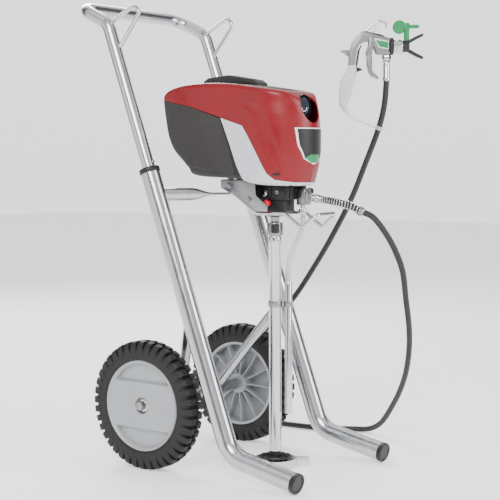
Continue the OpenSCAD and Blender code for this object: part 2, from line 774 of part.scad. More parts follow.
// Hook on top of the gun to hang it on a pail
module gun_hook() {
    color("silver") gun() difference() {
        bent_bar([[-46, 0, 862], [-18, 0, 888], [-2, 0, 882], [0, 0, 873]], 5, 2.5);
        gun_plate([[-51, 863], [-45, 864], [6, 851], [6, 817], [-60, 817]], 8);
    }
}
module trigger_pin() {
    color("gray") gun() translate(trigger_pivot) rotate([90, 0, 0]) {
        cylinder(h = 26, r = 2.95, center = true);
        for (s = [-1, 1]) translate([0, 0, s * 13.5]) cylinder(h = 1, r = 4.5, center = true);
    }
}
// Trigger: two cheeks outside the body, joined by the finger bar below
module gun_trigger() {
    color("silver") gun() difference() {
        union() {
            for (s = [-1, 1]) translate([0, s * 10.3, 0])
                gun_plate([[-35, 849], [-25, 849], [-24, 836], [-31, 816], [-31, 806], [-42, 806], [-42, 816],
                           [-36, 836]], 1.9);
            gun_plate([[-42, 811], [-31, 811], [-29, 790], [-26, 780], [-17, 772], [-19, 768], [-31, 772],
                       [-36, 782], [-40, 795]], 12.2);
        }
        translate(trigger_pivot) rotate([90, 0, 0]) cylinder(h = 60, r = 3, center = true);
    }
}
lock_pivot = [-58, 0, 787];
module trigger_lock() {
    color("black") gun() {
        translate(lock_pivot) rotate([90, 0, 0]) cylinder(h = 18, r = 3, center = true);
        gun_plate([[-60, 791], [-55, 790], [-50, 788], [-50, 785], [-56, 784], [-58, 786]], 4);
    }
}
module diffuser() {
    color("silver") gun() difference() {
        union() {
            gun_bar(6, 14, 17);
            gun_bar(14, 31, 13.5);
        }
        gun_bar(0, 40, 3.2);
    }
}
tip_x = 40;
module tip_bore(r) { translate([tip_x, 0, 800]) cylinder(h = 80, r = r); }
module tip_guard() {
    color([0.1, 0.1, 0.1]) gun() difference() {
        union() {
            gun_bar(31.3, 46, 11.5);
            for (s = [-1, 1]) gun_plate([[38, spray_z + s * 8], [46, spray_z + s * 7], [74, spray_z + s * 20],
                                         [74, spray_z + s * 25], [60, spray_z + s * 20],
                                         [40, spray_z + s * 11]], 8);
        }
        gun_bar(30, 50, 3);
        tip_bore(5 + run_gap);
    }
}
// Reversible tip: a pin across the guard with its flag on top
module spray_tip() {
    color([0.1, 0.6, 0.3]) gun() {
        difference() {
            translate([tip_x, 0, 823]) cylinder(h = 34, r = 5);
            gun_bar(30, 50, 1);
        }
        translate([tip_x, 0, 856]) cylinder(h = 4, r = 8);
        gun_plate([[tip_x - 5, 859], [tip_x + 5, 859], [66, 868], [68, 874], [60, 878], [tip_x - 2, 880],
                   [22, 886], [12, 880], [9, 870], [16, 860], [26, 857]], 3);
    }
}

left_side_tube();
right_side_tube();
foot_caps();
collars();
axle_tube();
axle_rod();
struts();
support_arms();
bracket_bolts();
left_snap_button();
right_snap_button();
inlet_valve();
mount_bracket();
pail_hook();
axle_cap_nuts();
handle_tube();
handle_loops();
handle_guides();
left_tyre();
left_rim();
right_tyre();
right_rim();
red_cover();
grey_cover();
white_cover();
base_plate();
carry_handle();
label_plate();
motor_stator();
motor_rotor();
crank_gear();
gear_frame();
piston();
control_board();
power_switch();
cord_inlet();
pressure_knob();
pump_block();
prime_button();
outlet_fitting();
coupling_nut();
suction_tube();
strainer();
drip_cup();
return_tube();
return_hose();
tube_clip();
spring_guard();
hose_end_pump();
paint_hose();
hose_end_gun();
gun_body();
gun_grip();
gun_hook();
gun_trigger();
trigger_pin();
trigger_lock();
diffuser();
tip_guard();
spray_tip();
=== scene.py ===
import json
import math

import bmesh
import bpy
from mathutils import Matrix, Vector


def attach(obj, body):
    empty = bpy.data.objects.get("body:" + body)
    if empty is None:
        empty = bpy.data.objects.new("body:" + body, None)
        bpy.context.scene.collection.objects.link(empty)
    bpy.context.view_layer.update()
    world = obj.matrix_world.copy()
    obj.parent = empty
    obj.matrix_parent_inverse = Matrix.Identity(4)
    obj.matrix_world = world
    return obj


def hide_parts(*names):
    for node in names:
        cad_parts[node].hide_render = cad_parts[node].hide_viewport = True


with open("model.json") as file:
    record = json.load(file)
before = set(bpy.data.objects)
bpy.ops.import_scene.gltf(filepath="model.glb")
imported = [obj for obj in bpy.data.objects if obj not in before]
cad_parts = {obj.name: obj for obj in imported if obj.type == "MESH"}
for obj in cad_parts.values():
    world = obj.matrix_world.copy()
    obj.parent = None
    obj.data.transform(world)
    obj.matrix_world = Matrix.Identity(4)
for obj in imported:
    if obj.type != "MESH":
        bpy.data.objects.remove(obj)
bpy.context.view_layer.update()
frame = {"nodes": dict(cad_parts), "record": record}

# Airless paint sprayer on a two-wheeled cart. Shapes below are written in millimetres, in the CAD
# frame (+Z up, -Y to the front, origin on the floor under the axle), and made in metres.
MM = 0.001
X, Y, Z = Vector((1, 0, 0)), Vector((0, 1, 0)), Vector((0, 0, 1))

# ---- Driving dimensions ----
WHEEL_R, RIM_R = 127.0, 89.5
TRACK_HALF = 157.5
SIDE_X, SIDE_R, HANDLE_R = 155.0, 19.0, 12.7
LEAN_Y, LEAN = -221.2, 0.362
COLLAR_Z, HANDLE_Z = 581.0, 911.0
SNAP_UP = 19
ARM_R = 12.7
AXLE_TUBE_R, AXLE_TUBE_HALF = 12.5, 131.5
SKID_BEND, HANDLE_BEND = 55, 38
LUGS, LUG_HALF, RIM_RIBS, RIM_STEPS = 40, 6.2, 13, 200
KNOB_FLUTES, KNOB_PADS = 16, 8
PUMP_Y, KNOB_Z = -197.0, 708
HOSE_D = 12.0
SPRING_R, SPRING_WIRE_R, SPRING_TURNS = 8.2, 1.0, 22
COVER_WALL, SEAM_GAP = 3.2, 0.35
GUN_AT, GUN_TURN, SPRAY_Z = Vector((215, -321.6, 0)), math.radians(-53.8), 833.5
UP = Vector((0, LEAN, 1)).normalized()
AHEAD = Vector((0, -UP.z, UP.y))


def on_lean(z, x=0.0):
    return Vector((x, LEAN_Y + LEAN * z, z))


# ---- Materials ----
def material(name, color, rough, metallic, grain, bump, vary, coat=0.0, streak=False, clear=0.0):
    """A procedural finish: fine grain in bump, slow variation in colour and roughness."""
    m = bpy.data.materials.new(name)
    m.use_nodes = True
    nt = m.node_tree
    n, link = nt.nodes, nt.links.new
    p = n["Principled BSDF"]
    p.inputs["Metallic"].default_value = metallic
    p.inputs["Specular IOR Level"].default_value = 0.35
    p.inputs["Coat Weight"].default_value = coat
    p.inputs["Coat Roughness"].default_value = 0.12
    p.inputs["Transmission Weight"].default_value = clear
    where = n.new("ShaderNodeTexCoord")
    fine = n.new("ShaderNodeTexNoise")
    fine.inputs["Scale"].default_value = grain
    fine.inputs["Detail"].default_value = 4
    slow = n.new("ShaderNodeTexNoise")
    slow.inputs["Scale"].default_value = 14
    slow.inputs["Detail"].default_value = 6
    link(where.outputs["Object"], fine.inputs["Vector"])
    if streak:
        stretch = n.new("ShaderNodeMapping")
        stretch.inputs["Scale"].default_value = (60, 60, 3)
        link(where.outputs["Object"], stretch.inputs["Vector"])
        link(stretch.outputs["Vector"], slow.inputs["Vector"])
        slow.inputs["Scale"].default_value = 2
    else:
        link(where.outputs["Object"], slow.inputs["Vector"])
    ramp = n.new("ShaderNodeValToRGB")
    ramp.color_ramp.elements[0].position = 0.3
    ramp.color_ramp.elements[1].position = 0.7
    for e, k in zip(ramp.color_ramp.elements, (1 - vary, 1 + vary)):
        e.color = [min(1, c * k) for c in color] + [1]
    link(slow.outputs["Fac"], ramp.inputs["Fac"])
    link(ramp.outputs["Color"], p.inputs["Base Color"])
    spread = n.new("ShaderNodeMapRange")
    spread.inputs["To Min"].default_value = max(0.02, rough * 0.75)
    spread.inputs["To Max"].default_value = min(1, rough * 1.3)
    link(slow.outputs["Fac"], spread.inputs["Value"])
    link(spread.outputs["Result"], p.inputs["Roughness"])
    b = n.new("ShaderNodeBump")
    b.inputs["Strength"].default_value = bump
    b.inputs["Distance"].default_value = 0.0004
    link(fine.outputs["Fac"], b.inputs["Height"])
    link(b.outputs["Normal"], p.inputs["Normal"])
    return m


# Each finish: colour, roughness, metal, grain, bump, variation, coat, streaks, clearness
FINISHES = {
    "zinc_tube": ((0.5, 0.51, 0.53), 0.2, 1, 500, 0.03, 0.06, 0, True),
    "polished": ((0.6, 0.6, 0.61), 0.12, 1, 500, 0.02, 0.04, 0, True),
    "steel": ((0.28, 0.28, 0.29), 0.27, 1, 700, 0.06, 0.08),
    "aluminium_cast": ((0.24, 0.245, 0.25), 0.33, 0.95, 800, 0.15, 0.1),
    "copper_steel": ((0.5, 0.28, 0.16), 0.35, 1, 1200, 0.3, 0.2),
    "brass": ((0.75, 0.55, 0.25), 0.28, 1, 900, 0.1, 0.1),
    "black_plastic": ((0.011, 0.011, 0.012), 0.42, 0, 1400, 0.18, 0.25),
    "charcoal_plastic": ((0.026, 0.024, 0.023), 0.5, 0, 2600, 0.35, 0.1),
    "red_plastic": ((0.19, 0.0015, 0.006), 0.33, 0, 1800, 0.05, 0.06, 0.08),
    "white_plastic": ((0.55, 0.56, 0.59), 0.32, 0, 1800, 0.05, 0.03, 0.2),
    "rim_plastic": ((0.34, 0.35, 0.365), 0.42, 0.15, 1600, 0.14, 0.05),
    "tyre_rubber": ((0.013, 0.013, 0.014), 0.62, 0, 900, 0.4, 0.25),
    "knob_plastic": ((0.015, 0.022, 0.035), 0.38, 0, 1500, 0.15, 0.2, 0.1),
    "cup_plastic": ((0.55, 0.55, 0.54), 0.4, 0, 1500, 0.12, 0.04),
    "clear_hose": ((0.7, 0.71, 0.7), 0.3, 0, 900, 0.05, 0.03, 0, False, 0.5),
    "hose_rubber": ((0.02, 0.02, 0.022), 0.48, 0, 1600, 0.3, 0.2),
    "green_plastic": ((0.006, 0.2, 0.06), 0.32, 0, 1500, 0.08, 0.08, 0.2),
    "red_button": ((0.6, 0.01, 0.02), 0.35, 0, 1500, 0.08, 0.08, 0.2),
    "board": ((0.01, 0.16, 0.05), 0.4, 0, 300, 0.2, 0.3),
    "label": ((0.006, 0.006, 0.007), 0.4, 0, 2500, 0.04, 0.2),
    "print_white": ((0.78, 0.78, 0.78), 0.35, 0, 2500, 0.04, 0.03, 0.2),
    "floor_paint": ((0.9, 0.9, 0.9), 0.7, 0, 60, 0.02, 0.01),
}
MAT = {name: material(name, *finish) for name, finish in FINISHES.items()}
BLACK, CAST, ZINC, CHROME, STEEL = "black_plastic", "aluminium_cast", "zinc_tube", "polished", "steel"


# ---- Mesh helpers ----
def shade(obj, angle=32):
    """Smooth faces, with edges sharper than the angle kept crisp."""
    bm = bmesh.new()
    bm.from_mesh(obj.data)
    for f in bm.faces:
        f.smooth = True
    limit = math.radians(angle)
    for e in bm.edges:
        e.smooth = len(e.link_faces) == 2 and e.calc_face_angle(0) < limit
    bm.to_mesh(obj.data)
    bm.free()
    return obj


def solid(name, verts, faces, mats, angle=32, index=()):
    """A mesh from points in millimetres. index gives each face's material where there are several."""
    mesh = bpy.data.meshes.new(name)
    mesh.from_pydata([Vector(v) * MM for v in verts], [], faces)
    obj = bpy.data.objects.new(name, mesh)
    bpy.context.scene.collection.objects.link(obj)
    for m in ([mats] if isinstance(mats, str) else mats):
        mesh.materials.append(MAT[m])
    for f, kind in zip(mesh.polygons, index):
        f.material_index = kind
    bm = bmesh.new()
    bm.from_mesh(mesh)
    bmesh.ops.remove_doubles(bm, verts=bm.verts, dist=2e-6)
    bmesh.ops.dissolve_degenerate(bm, dist=1e-6, edges=bm.edges)
    bmesh.ops.recalc_face_normals(bm, faces=bm.faces)
    bm.to_mesh(mesh)
    bm.free()
    return shade(obj, angle)


def frame_at(p, d, side=None):
    """A placement whose z runs along d from p."""
    d = Vector(d).normalized()
    side = Vector(side) if side else (Z if abs(d.z) < 0.9 else X)
    a = (side - d * side.dot(d)).normalized()
    m = Matrix((a, d.cross(a), d)).transposed().to_4x4()
    m.translation = Vector(p)
    return m


def turned(profile, at, n):
    """A row of n points round the placement's z axis for each (radius, height)."""
    return [at @ Vector((r * math.cos(2 * math.pi * k / n), r * math.sin(2 * math.pi * k / n), h))
            for r, h in profile for k in range(n)]


def bands(rows, n, start=0, loop=False):
    """Faces between neighbouring rows of n points. A loop also joins the last row to the first."""
    return [(start + i * n + k, start + i * n + (k + 1) % n,
             start + (i + 1) % rows * n + (k + 1) % n, start + (i + 1) % rows * n + k)
            for i in range(rows if loop else rows - 1) for k in range(n)]


def lathe(name, profile, at, mat, n=40, angle=32):
    """A turned piece: profile is (radius, height) from one end to the other, closed at both."""
    prof = [(0, profile[0][1])] + list(profile) + [(0, profile[-1][1])]
    return solid(name, turned(prof, at, n), bands(len(prof), n), mat, angle)


def ring(name, profile, at, mat, n=64, angle=32):
    """A turned piece with a hole: profile is a closed loop of (radius, height)."""
    return solid(name, turned(profile, at, n), bands(len(profile), n, loop=True), mat, angle)


def sweep(name, pts, r, mat, n=20):
    """A round bar of radius r through the points."""
    pts = [Vector(p) for p in pts]
    last = len(pts) - 1
    a = Vector((0.3, 0.2, 1))
    verts = []
    for i, p in enumerate(pts):
        d = (pts[min(i + 1, last)] - pts[max(i - 1, 0)]).normalized()
        a = (a - d * a.dot(d)).normalized()
        b = d.cross(a)
        verts += [p + r * (math.cos(2 * math.pi * k / n) * a + math.sin(2 * math.pi * k / n) * b)
                  for k in range(n)]
    faces = bands(len(pts), n) + [tuple(range(n)), tuple(last * n + k for k in range(n))]
    return solid(name, verts, faces, mat)


def rounded(pts, bend, steps=10):
    """A route with each corner rounded to one radius."""
    pts = [Vector(p) for p in pts]
    out = [pts[0]]
    for a, k, b in zip(pts, pts[1:], pts[2:]):
        d, e = (k - a).normalized(), (b - k).normalized()
        turn = math.acos(max(-1, min(1, d.dot(e))))
        n = (e - d * d.dot(e)).normalized()
        c = k - d * bend * math.tan(turn / 2) + n * bend
        out += [c + bend * (d * math.sin(turn * i / steps) - n * math.cos(turn * i / steps))
                for i in range(steps + 1)]
    return out + [pts[-1]]


def smooth_route(pts, steps):
    """Catmull-Rom through the points."""
    pts = [Vector(p) for p in pts]
    out = []
    last = len(pts) - 1
    for i in range(last):
        a, b, c, d = pts[max(i - 1, 0)], pts[i], pts[i + 1], pts[min(i + 2, last)]
        for k in range(steps):
            t = k / steps
            out.append(0.5 * (2 * b + (c - a) * t + (2 * a - 5 * b + 4 * c - d) * t ** 2
                              + (3 * b - a - 3 * c + d) * t ** 3))
    return out + [pts[-1]]


def apply_modifiers(obj):
    bpy.context.view_layer.update()
    done = bpy.data.meshes.new_from_object(obj.evaluated_get(bpy.context.evaluated_depsgraph_get()))
    obj.modifiers.clear()
    obj.data = done
    return obj


def bevel(obj, width, segments=2, angle=35):
    m = obj.modifiers.new("edge", "BEVEL")
    m.width = width * MM
    m.segments = segments
    m.limit_method = "ANGLE"
    m.angle_limit = math.radians(angle)
    return shade(apply_modifiers(obj))


def plate(name, outline, low, high, at, mat, edge=0.8, segments=2):
    """A flat outline of (x, y) from z = low to z = high of the placement, with rounded edges."""
    n = len(outline)
    verts = [at @ Vector((u, v, w)) for w in (low, high) for u, v in outline]
    faces = [tuple(range(n)), tuple(range(n, 2 * n))]
    faces += [(i, (i + 1) % n, n + (i + 1) % n, n + i) for i in range(n)]
    obj = solid(name, verts, faces, mat)
    return bevel(obj, edge, segments) if edge else obj


def block(name, low, high, mat, edge=1.0, segments=2, at=Matrix()):
    outline = [(low[0], low[1]), (high[0], low[1]), (high[0], high[1]), (low[0], high[1])]
    return plate(name, outline, low[2], high[2], at, mat, edge, segments)


def cut(obj, tool, how="DIFFERENCE"):
    m = obj.modifiers.new("cut", "BOOLEAN")
    m.object = tool
    m.operation = how
    m.solver = "MANIFOLD"
    apply_modifiers(obj)
    bpy.data.objects.remove(tool)
    return shade(obj)


def join(name, objs):
    """One piece from several, keeping each one's material."""
    mesh = bpy.data.meshes.new(name)
    bm = bmesh.new()
    mats = []
    for o in objs:
        start = len(bm.faces)
        bm.from_mesh(o.data)
        bm.faces.ensure_lookup_table()
        for f in bm.faces[start:]:
            m = o.data.materials[f.material_index]
            if m not in mats:
                mats.append(m)
            f.material_index = mats.index(m)
        bpy.data.objects.remove(o)
    bm.to_mesh(mesh)
    bm.free()
    for m in mats:
        mesh.materials.append(m)
    obj = bpy.data.objects.new(name, mesh)
    bpy.context.scene.collection.objects.link(obj)
    return obj


def put(obj, body, slot, *nodes):
    """The piece rides on a body and stands for CAD nodes; slot is not used."""
    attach(obj, body)
    if nodes:
        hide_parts(*nodes)
    return obj


def mirrored(obj, name):
    """A copy on the other side of the middle plane."""
    mesh = obj.data.copy()
    mesh.transform(Matrix.Scale(-1, 4, X))
    mesh.flip_normals()
    other = bpy.data.objects.new(name, mesh)
    bpy.context.scene.collection.objects.link(other)
    return other


# ---- Camera, floor and light ----
CAMERA_AT = Vector((-2.04815, -1.63328, 0.60745))
YAW, PITCH, ROLL = math.radians(53.837), math.radians(4.052), math.radians(-0.171)
LENS = 92.13


def camera():
    d = Vector((math.sin(YAW) * math.cos(PITCH), math.cos(YAW) * math.cos(PITCH), -math.sin(PITCH)))
    r = Vector((math.cos(YAW), -math.sin(YAW), 0))
    u = r.cross(d)
    r, u = math.cos(ROLL) * r + math.sin(ROLL) * u, math.cos(ROLL) * u - math.sin(ROLL) * r
    data = bpy.data.cameras.new("camera")
    data.sensor_width = 36
    data.lens = LENS
    data.clip_end = 60
    cam = bpy.data.objects.new("camera", data)
    m = Matrix((r, u, -d)).transposed().to_4x4()
    m.translation = CAMERA_AT
    cam.matrix_world = m
    bpy.context.scene.collection.objects.link(cam)
    bpy.context.scene.camera = cam


def light(name, at, size, power, aim=(0, -0.1, 0.5)):
    data = bpy.data.lights.new(name, "AREA")
    data.shape = "RECTANGLE"
    data.size, data.size_y = size
    data.energy = power
    obj = bpy.data.objects.new(name, data)
    obj.location = at
    obj.rotation_euler = (Vector(aim) - Vector(at)).to_track_quat("-Z", "Y").to_euler()
    bpy.context.scene.collection.objects.link(obj)


def studio():
    floor = solid("floor", [(-9000, -9000, 0), (9000, -9000, 0), (9000, 9000, 0), (-9000, 9000, 0)],
                  [(0, 1, 2, 3)], "floor_paint")
    glow = MAT["floor_paint"].node_tree.nodes["Principled BSDF"]
    glow.inputs["Emission Color"].default_value = (1, 1, 1, 1)
    glow.inputs["Emission Strength"].default_value = 0.55
    world = bpy.data.worlds.new("studio")
    bpy.context.scene.world = world
    world.use_nodes = True
    n, link = world.node_tree.nodes, world.node_tree.links.new
    where = n.new("ShaderNodeTexCoord")
    split = n.new("ShaderNodeSeparateXYZ")
    ramp = n.new("ShaderNodeValToRGB")
    stops = ramp.color_ramp.elements
    stops[0].position, stops[0].color = 0.0, (0.55, 0.55, 0.56, 1)
    stops[1].position, stops[1].color = 1.0, (1, 1, 1, 1)
    for at, c in ((0.46, 0.95), (0.56, 1.0), (0.7, 0.4), (0.86, 0.8)):
        e = stops.new(at)
        e.color = (c, c, c, 1)
    shift = n.new("ShaderNodeMapRange")
    shift.inputs["From Min"].default_value = -1
    link(where.outputs["Generated"], split.inputs["Vector"])
    link(split.outputs["Z"], shift.inputs["Value"])
    link(shift.outputs["Result"], ramp.inputs["Fac"])
    # Dark cards round the object, for streaks in the tubes
    turn = n.new("ShaderNodeMath")
    turn.operation = "ARCTAN2"
    link(split.outputs["X"], turn.inputs[0])
    link(split.outputs["Y"], turn.inputs[1])
    cards = n.new("ShaderNodeValToRGB")
    stops = cards.color_ramp.elements
    around = n.new("ShaderNodeMapRange")
    around.inputs["From Min"].default_value = -math.pi
    around.inputs["From Max"].default_value = math.pi
    link(turn.outputs["Value"], around.inputs["Value"])
    link(around.outputs["Result"], cards.inputs["Fac"])
    stops[0].position, stops[0].color = 0.0, (0.35, 0.35, 0.36, 1)
    stops[1].position, stops[1].color = 1.0, (0.35, 0.35, 0.36, 1)
    for at, c in ((0.05, 1.0), (0.16, 1.0), (0.19, 0.12), (0.25, 0.12), (0.28, 1.0), (0.4, 1.0),
                  (0.43, 0.15), (0.5, 0.15), (0.53, 1.0), (0.78, 1.0), (0.82, 0.12), (0.88, 0.12),
                  (0.91, 1.0)):
        e = stops.new(at)
        e.color = (c, c, c, 1)
    mix = n.new("ShaderNodeMix")
    mix.data_type = "RGBA"
    mix.blend_type = "MULTIPLY"
    mix.inputs["Factor"].default_value = 1
    link(ramp.outputs["Color"], mix.inputs["A"])
    link(cards.outputs["Color"], mix.inputs["B"])
    link(mix.outputs["Result"], n["Background"].inputs["Color"])
    n["Background"].inputs["Strength"].default_value = 1.9
    light("key", (-2.6, -1.2, 2.4), (1.6, 1.6), 100)
    light("fill", (0.6, -2.8, 1.4), (1.2, 1.8), 50)
    light("back", (1.6, 2.2, 2.2), (1.6, 1.0), 90)


camera()
studio()

# ---- Paint hose ----
HOSE_ROUTE = [
    (70, -352, 506), (84, -371, 494), (105, -388, 460), (127, -396, 425), (152, -397, 385),
    (185, -386, 328), (215, -376, 276), (240, -364, 234), (265, -347, 192), (290, -326, 153),
    (318, -296, 110), (342, -262, 68), (360, -232, 35), (370, -205, 16), (373, -180, 8),
    (366, -158, 7), (346, -122, 7), (330, -80, 7), (324, -38, 7), (321, 4, 7),
    (316, 50, 7), (304, 92, 12), (290, 118, 34), (281, 123, 68), (279, 108, 110),
    (283, 80, 160), (290, 42, 212), (295, 2, 260), (297, -42, 303), (280, -103, 371),
    (262, -161, 441), (245, -220, 523), (233, -262, 598), (222, -300, 670),
    (217, -316, 718), (215, -321.6, 766)]
GUARD_ROUTE = [(25, -274, 532), (43, -303, 526), (58, -331, 518), (70, -352, 506)]


def hose():
    path = smooth_route(HOSE_ROUTE, 6)
    piece = put(sweep("paint_hose_skin", path, HOSE_D / 2, "hose_rubber", 20), "cart", "hose_rubber",
                "paint_hose")
    guide = smooth_route(GUARD_ROUTE, 40)
    core = put(sweep("hose_core", smooth_route(GUARD_ROUTE, 8), 6.3, "hose_rubber", 20), "cart",
               "hose_rubber", "hose_end_pump")
    # The spring's turns lie close at the fitting and open out towards the hose
    wire = []
    total = len(guide) - 1
    steps = 18
    for k in range(SPRING_TURNS * steps + 1):
        s = k / (SPRING_TURNS * steps)
        along = (0.32 * s + 0.68 * s ** 2.1) * total
        i = min(int(along), total - 1)
        p = guide[i].lerp(guide[i + 1], along - i)
        d = (guide[i + 1] - guide[i]).normalized()
        a = d.cross(Z).normalized()
        turn = 2 * math.pi * k / steps
        wire.append(p + SPRING_R * (math.cos(turn) * a + math.sin(turn) * d.cross(a)))
    spring = put(sweep("spring_guard_wire", wire, SPRING_WIRE_R, CHROME, 8), "cart", STEEL, "spring_guard")
    end = Vector(GUARD_ROUTE[-1])
    d = (Vector(HOSE_ROUTE[1]) - end).normalized()
    ferrule = put(lathe("hose_ferrule", [(8.6, -7), (9, -6), (9, 1), (8.2, 3)], frame_at(end, d), STEEL),
                  "cart", STEEL)
    gun_end = put(lathe("gun_ferrule", [(7.4, 764), (7.7, 765), (7.7, 771), (6.9, 773), (6.9, 797),
                                        (6.2, 801)], Matrix.Translation(GUN_AT), CHROME),
                  "cart", STEEL, "hose_end_gun")


hose()

# ---- Cart tubes ----
SKID_TIP, SKID_CORNER = Vector((0, -353, 20)), on_lean(50)
SKID_ALONG = (SKID_TIP - SKID_CORNER).normalized()


def side_tube(name):
    side = Vector((SIDE_X, 0, 0))
    route = [SKID_TIP + side, SKID_CORNER + side, on_lean(COLLAR_Z) + side]
    return sweep(name, rounded(route, SKID_BEND, 14), SIDE_R, ZINC, 40)


def cart():
    right = side_tube("right_side_tube_skin")
    left = mirrored(right, "left_side_tube_skin")
    put(right, "cart", ZINC, "right_side_tube")
    put(left, "cart", ZINC, "left_side_tube")
    tip = SKID_TIP + Vector((SIDE_X, 0, 0))
    cap = join("cap", [
        ring("cap_rim", [(14.5, 3), (15.2, 4), (18.6, 4), (19.6, 3), (19.6, -5), (19.1, -6), (14.5, -6)],
             frame_at(tip, SKID_ALONG), BLACK),
        lathe("cap_face", [(14.6, -4), (14.6, 2.4), (13.8, 3)], frame_at(tip, SKID_ALONG),
              "charcoal_plastic")])
    put(join("foot_caps_skin", [cap, mirrored(cap, "cap2")]), "cart", BLACK, "foot_caps")
    top = frame_at(on_lean(COLLAR_Z, SIDE_X), UP)
    collar = ring("collar", [(12.9, 10.4), (16, 11), (19.6, 10), (20.4, 8.4), (20.5, 1.4), (20, 0.2),
                             (19.2, 0), (17.3, -1), (12.9, -2)], top, BLACK)
    put(join("collars_skin", [collar, mirrored(collar, "collar2")]), "cart", BLACK, "collars")
    foot, head = Vector((56, 0, WHEEL_R)), Vector((SIDE_X, -108, 312.5))
    d = (head - foot).normalized()
    arms()
    put(lathe("axle_tube_skin", [(AXLE_TUBE_R, -AXLE_TUBE_HALF), (AXLE_TUBE_R, AXLE_TUBE_HALF)],
              frame_at((0, 0, WHEEL_R), X), ZINC), "cart", ZINC, "axle_tube")
    weld = ring("weld", [(10.4, 0), (13.4, 0.6), (12.6, 3), (10.4, 5)],
                frame_at(foot + d * 12.2, d), STEEL, 32)
    put(join("strut_welds", [weld, mirrored(weld, "weld2")]), "cart", STEEL)


def arms():
    """Support arms: round tube that is pressed flat where the bracket is bolted on."""
    start, end = Vector((SIDE_X - 12, -33.7, 540)), Vector((33, -108, 540))
    d = (end - start).normalized()
    flat = d.cross(Z)
    verts, n = [], 32
    stations = [(0, ARM_R, ARM_R), (0.42, ARM_R, ARM_R), (0.5, 13, 11.5), (0.58, 14, 8), (0.66, 15, 4.6),
                (0.74, 15.5, 3.2), (1, 15.5, 3.2)]
    for t, wide, tall in stations:
        p = start.lerp(end, t)
        verts += [p + flat * wide * math.cos(2 * math.pi * k / n) + Z * tall * math.sin(2 * math.pi * k / n)
                  for k in range(n)]
    m = len(stations) - 1
    faces = bands(m + 1, n) + [tuple(range(n)), tuple(m * n + k for k in range(n))]
    arm = solid("arm", verts, faces, ZINC, 50)
    put(join("support_arms_skin", [arm, mirrored(arm, "arm2")]), "cart", ZINC, "support_arms")


BRACKET_SIDE = [(-99, 568.5), (-157, 568.5), (-183, 559), (-184, 538), (-211, 518), (-211, 507),
                (-178, 507), (-130, 538), (-99, 552)]
YZ = Matrix(((0, 0, 1, 0), (1, 0, 0, 0), (0, 1, 0, 0), (0, 0, 0, 1)))


def bracket():
    side = plate("side", BRACKET_SIDE, 44, 46.5, YZ, STEEL, 0.7)
    top = block("top", (-45, -150, 566), (45, -99, 568.5), STEEL, 0.7)
    bolts = [lathe("bolt", [(6.5, 0), (6.5, 1.2), (5.2, 1.6), (5.2, 5), (4.2, 5.6)],
                   frame_at((46.5, y, z), X), STEEL, 6) for y, z in ((-120, 556), (-168, 530))]
    half = join("half", [side] + bolts)
    put(join("mount_bracket_skin", [half, mirrored(half, "half2"), top]), "cart", STEEL, "mount_bracket")
    rail = [(-121, 561), (-167, 509), (-181, 503), (-246, 503), (-285, 476), (-316, 503)]
    route = [(-35, y, z) for y, z in rail] + [(35, y, z) for y, z in reversed(rail)]
    put(sweep("pail_hook_skin", rounded(route, 11, 8), 4, CHROME, 16), "cart", ZINC, "pail_hook")


# ---- Handle ----
def handle():
    low = on_lean(COLLAR_Z) - UP * 150
    side = [low, on_lean(HANDLE_Z - 36), Vector((0, 172, HANDLE_Z))]
    route = [p - X * SIDE_X for p in side] + [p + X * SIDE_X for p in reversed(side)]
    tube = sweep("handle_tube_skin", rounded(route, HANDLE_BEND, 14), HANDLE_R, ZINC, 36)
    for x in (-SIDE_X, SIDE_X):
        hole = frame_at(on_lean(COLLAR_Z, x) + UP * SNAP_UP, AHEAD)
        cut(tube, lathe("hole", [(3.8, 1), (3.8, 20)], hole, ZINC, 24))
    put(tube, "handle", ZINC, "handle_tube")
    loop_x = SIDE_X - 5
    corners = [(loop_x, y, z) for y, z in ((93, 876), (31, 907), (17, 893), (73, 823))]
    loop = sweep("loop", rounded(corners, 9, 8), 4, CHROME, 16)
    put(join("handle_loops_skin", [loop, mirrored(loop, "loop2")]), "handle", ZINC, "handle_loops")
    at = on_lean(COLLAR_Z, SIDE_X) + UP * SNAP_UP
    button = lathe("right_snap_button_skin", [(3.5, 6), (3.5, HANDLE_R + 2.4), (2.6, HANDLE_R + 3.6),
                                              (1, HANDLE_R + 4)], frame_at(at, AHEAD), STEEL, 24)
    other = mirrored(button, "left_snap_button_skin")
    put(button, "right_snap", STEEL, "right_snap_button")
    put(other, "left_snap", STEEL, "left_snap_button")


# ---- Wheels ----
def tyre(side, name, body, node):
    at = frame_at((side * TRACK_HALF, 0, WHEEL_R), X * side, Z)
    casing = ring("casing", [(RIM_R, -18), (92, -20.6), (97, -21.8), (104, -21.4), (110, -20), (116, -17),
                             (119, -12), (120, 0), (119, 12), (116, 17), (110, 20), (104, 21.4),
                             (97, 21.8), (92, 20.6), (RIM_R, 18)], at, "tyre_rubber", 120, 40)
    lug = [(21.9, 103), (22, 112), (20.6, 120), (16.5, 125.4), (11, 127), (2.4, 127), (2.4, 117), (15, 112)]
    parts = [casing]
    for k in range(LUGS):
        for face in (1, -1):
            turn = 2 * math.pi * (k + (0.5 if face < 0 else 0)) / LUGS
            across = Matrix(((0, 1, 0, 0), (0, 0, 1, 0), (face, 0, 0, 0), (0, 0, 0, 1)))
            spin = at @ Matrix.Rotation(turn, 4, "Z") @ across
            parts.append(plate("lug", lug, -LUG_HALF, LUG_HALF, spin, "tyre_rubber", 0.9, 1))
    bead = ring("bead", [(92.5, 20.2), (94, 22), (96, 22), (97.4, 20.6)], at, "tyre_rubber", 96)
    put(join(name, parts + [bead]), body, "tyre_rubber", node)


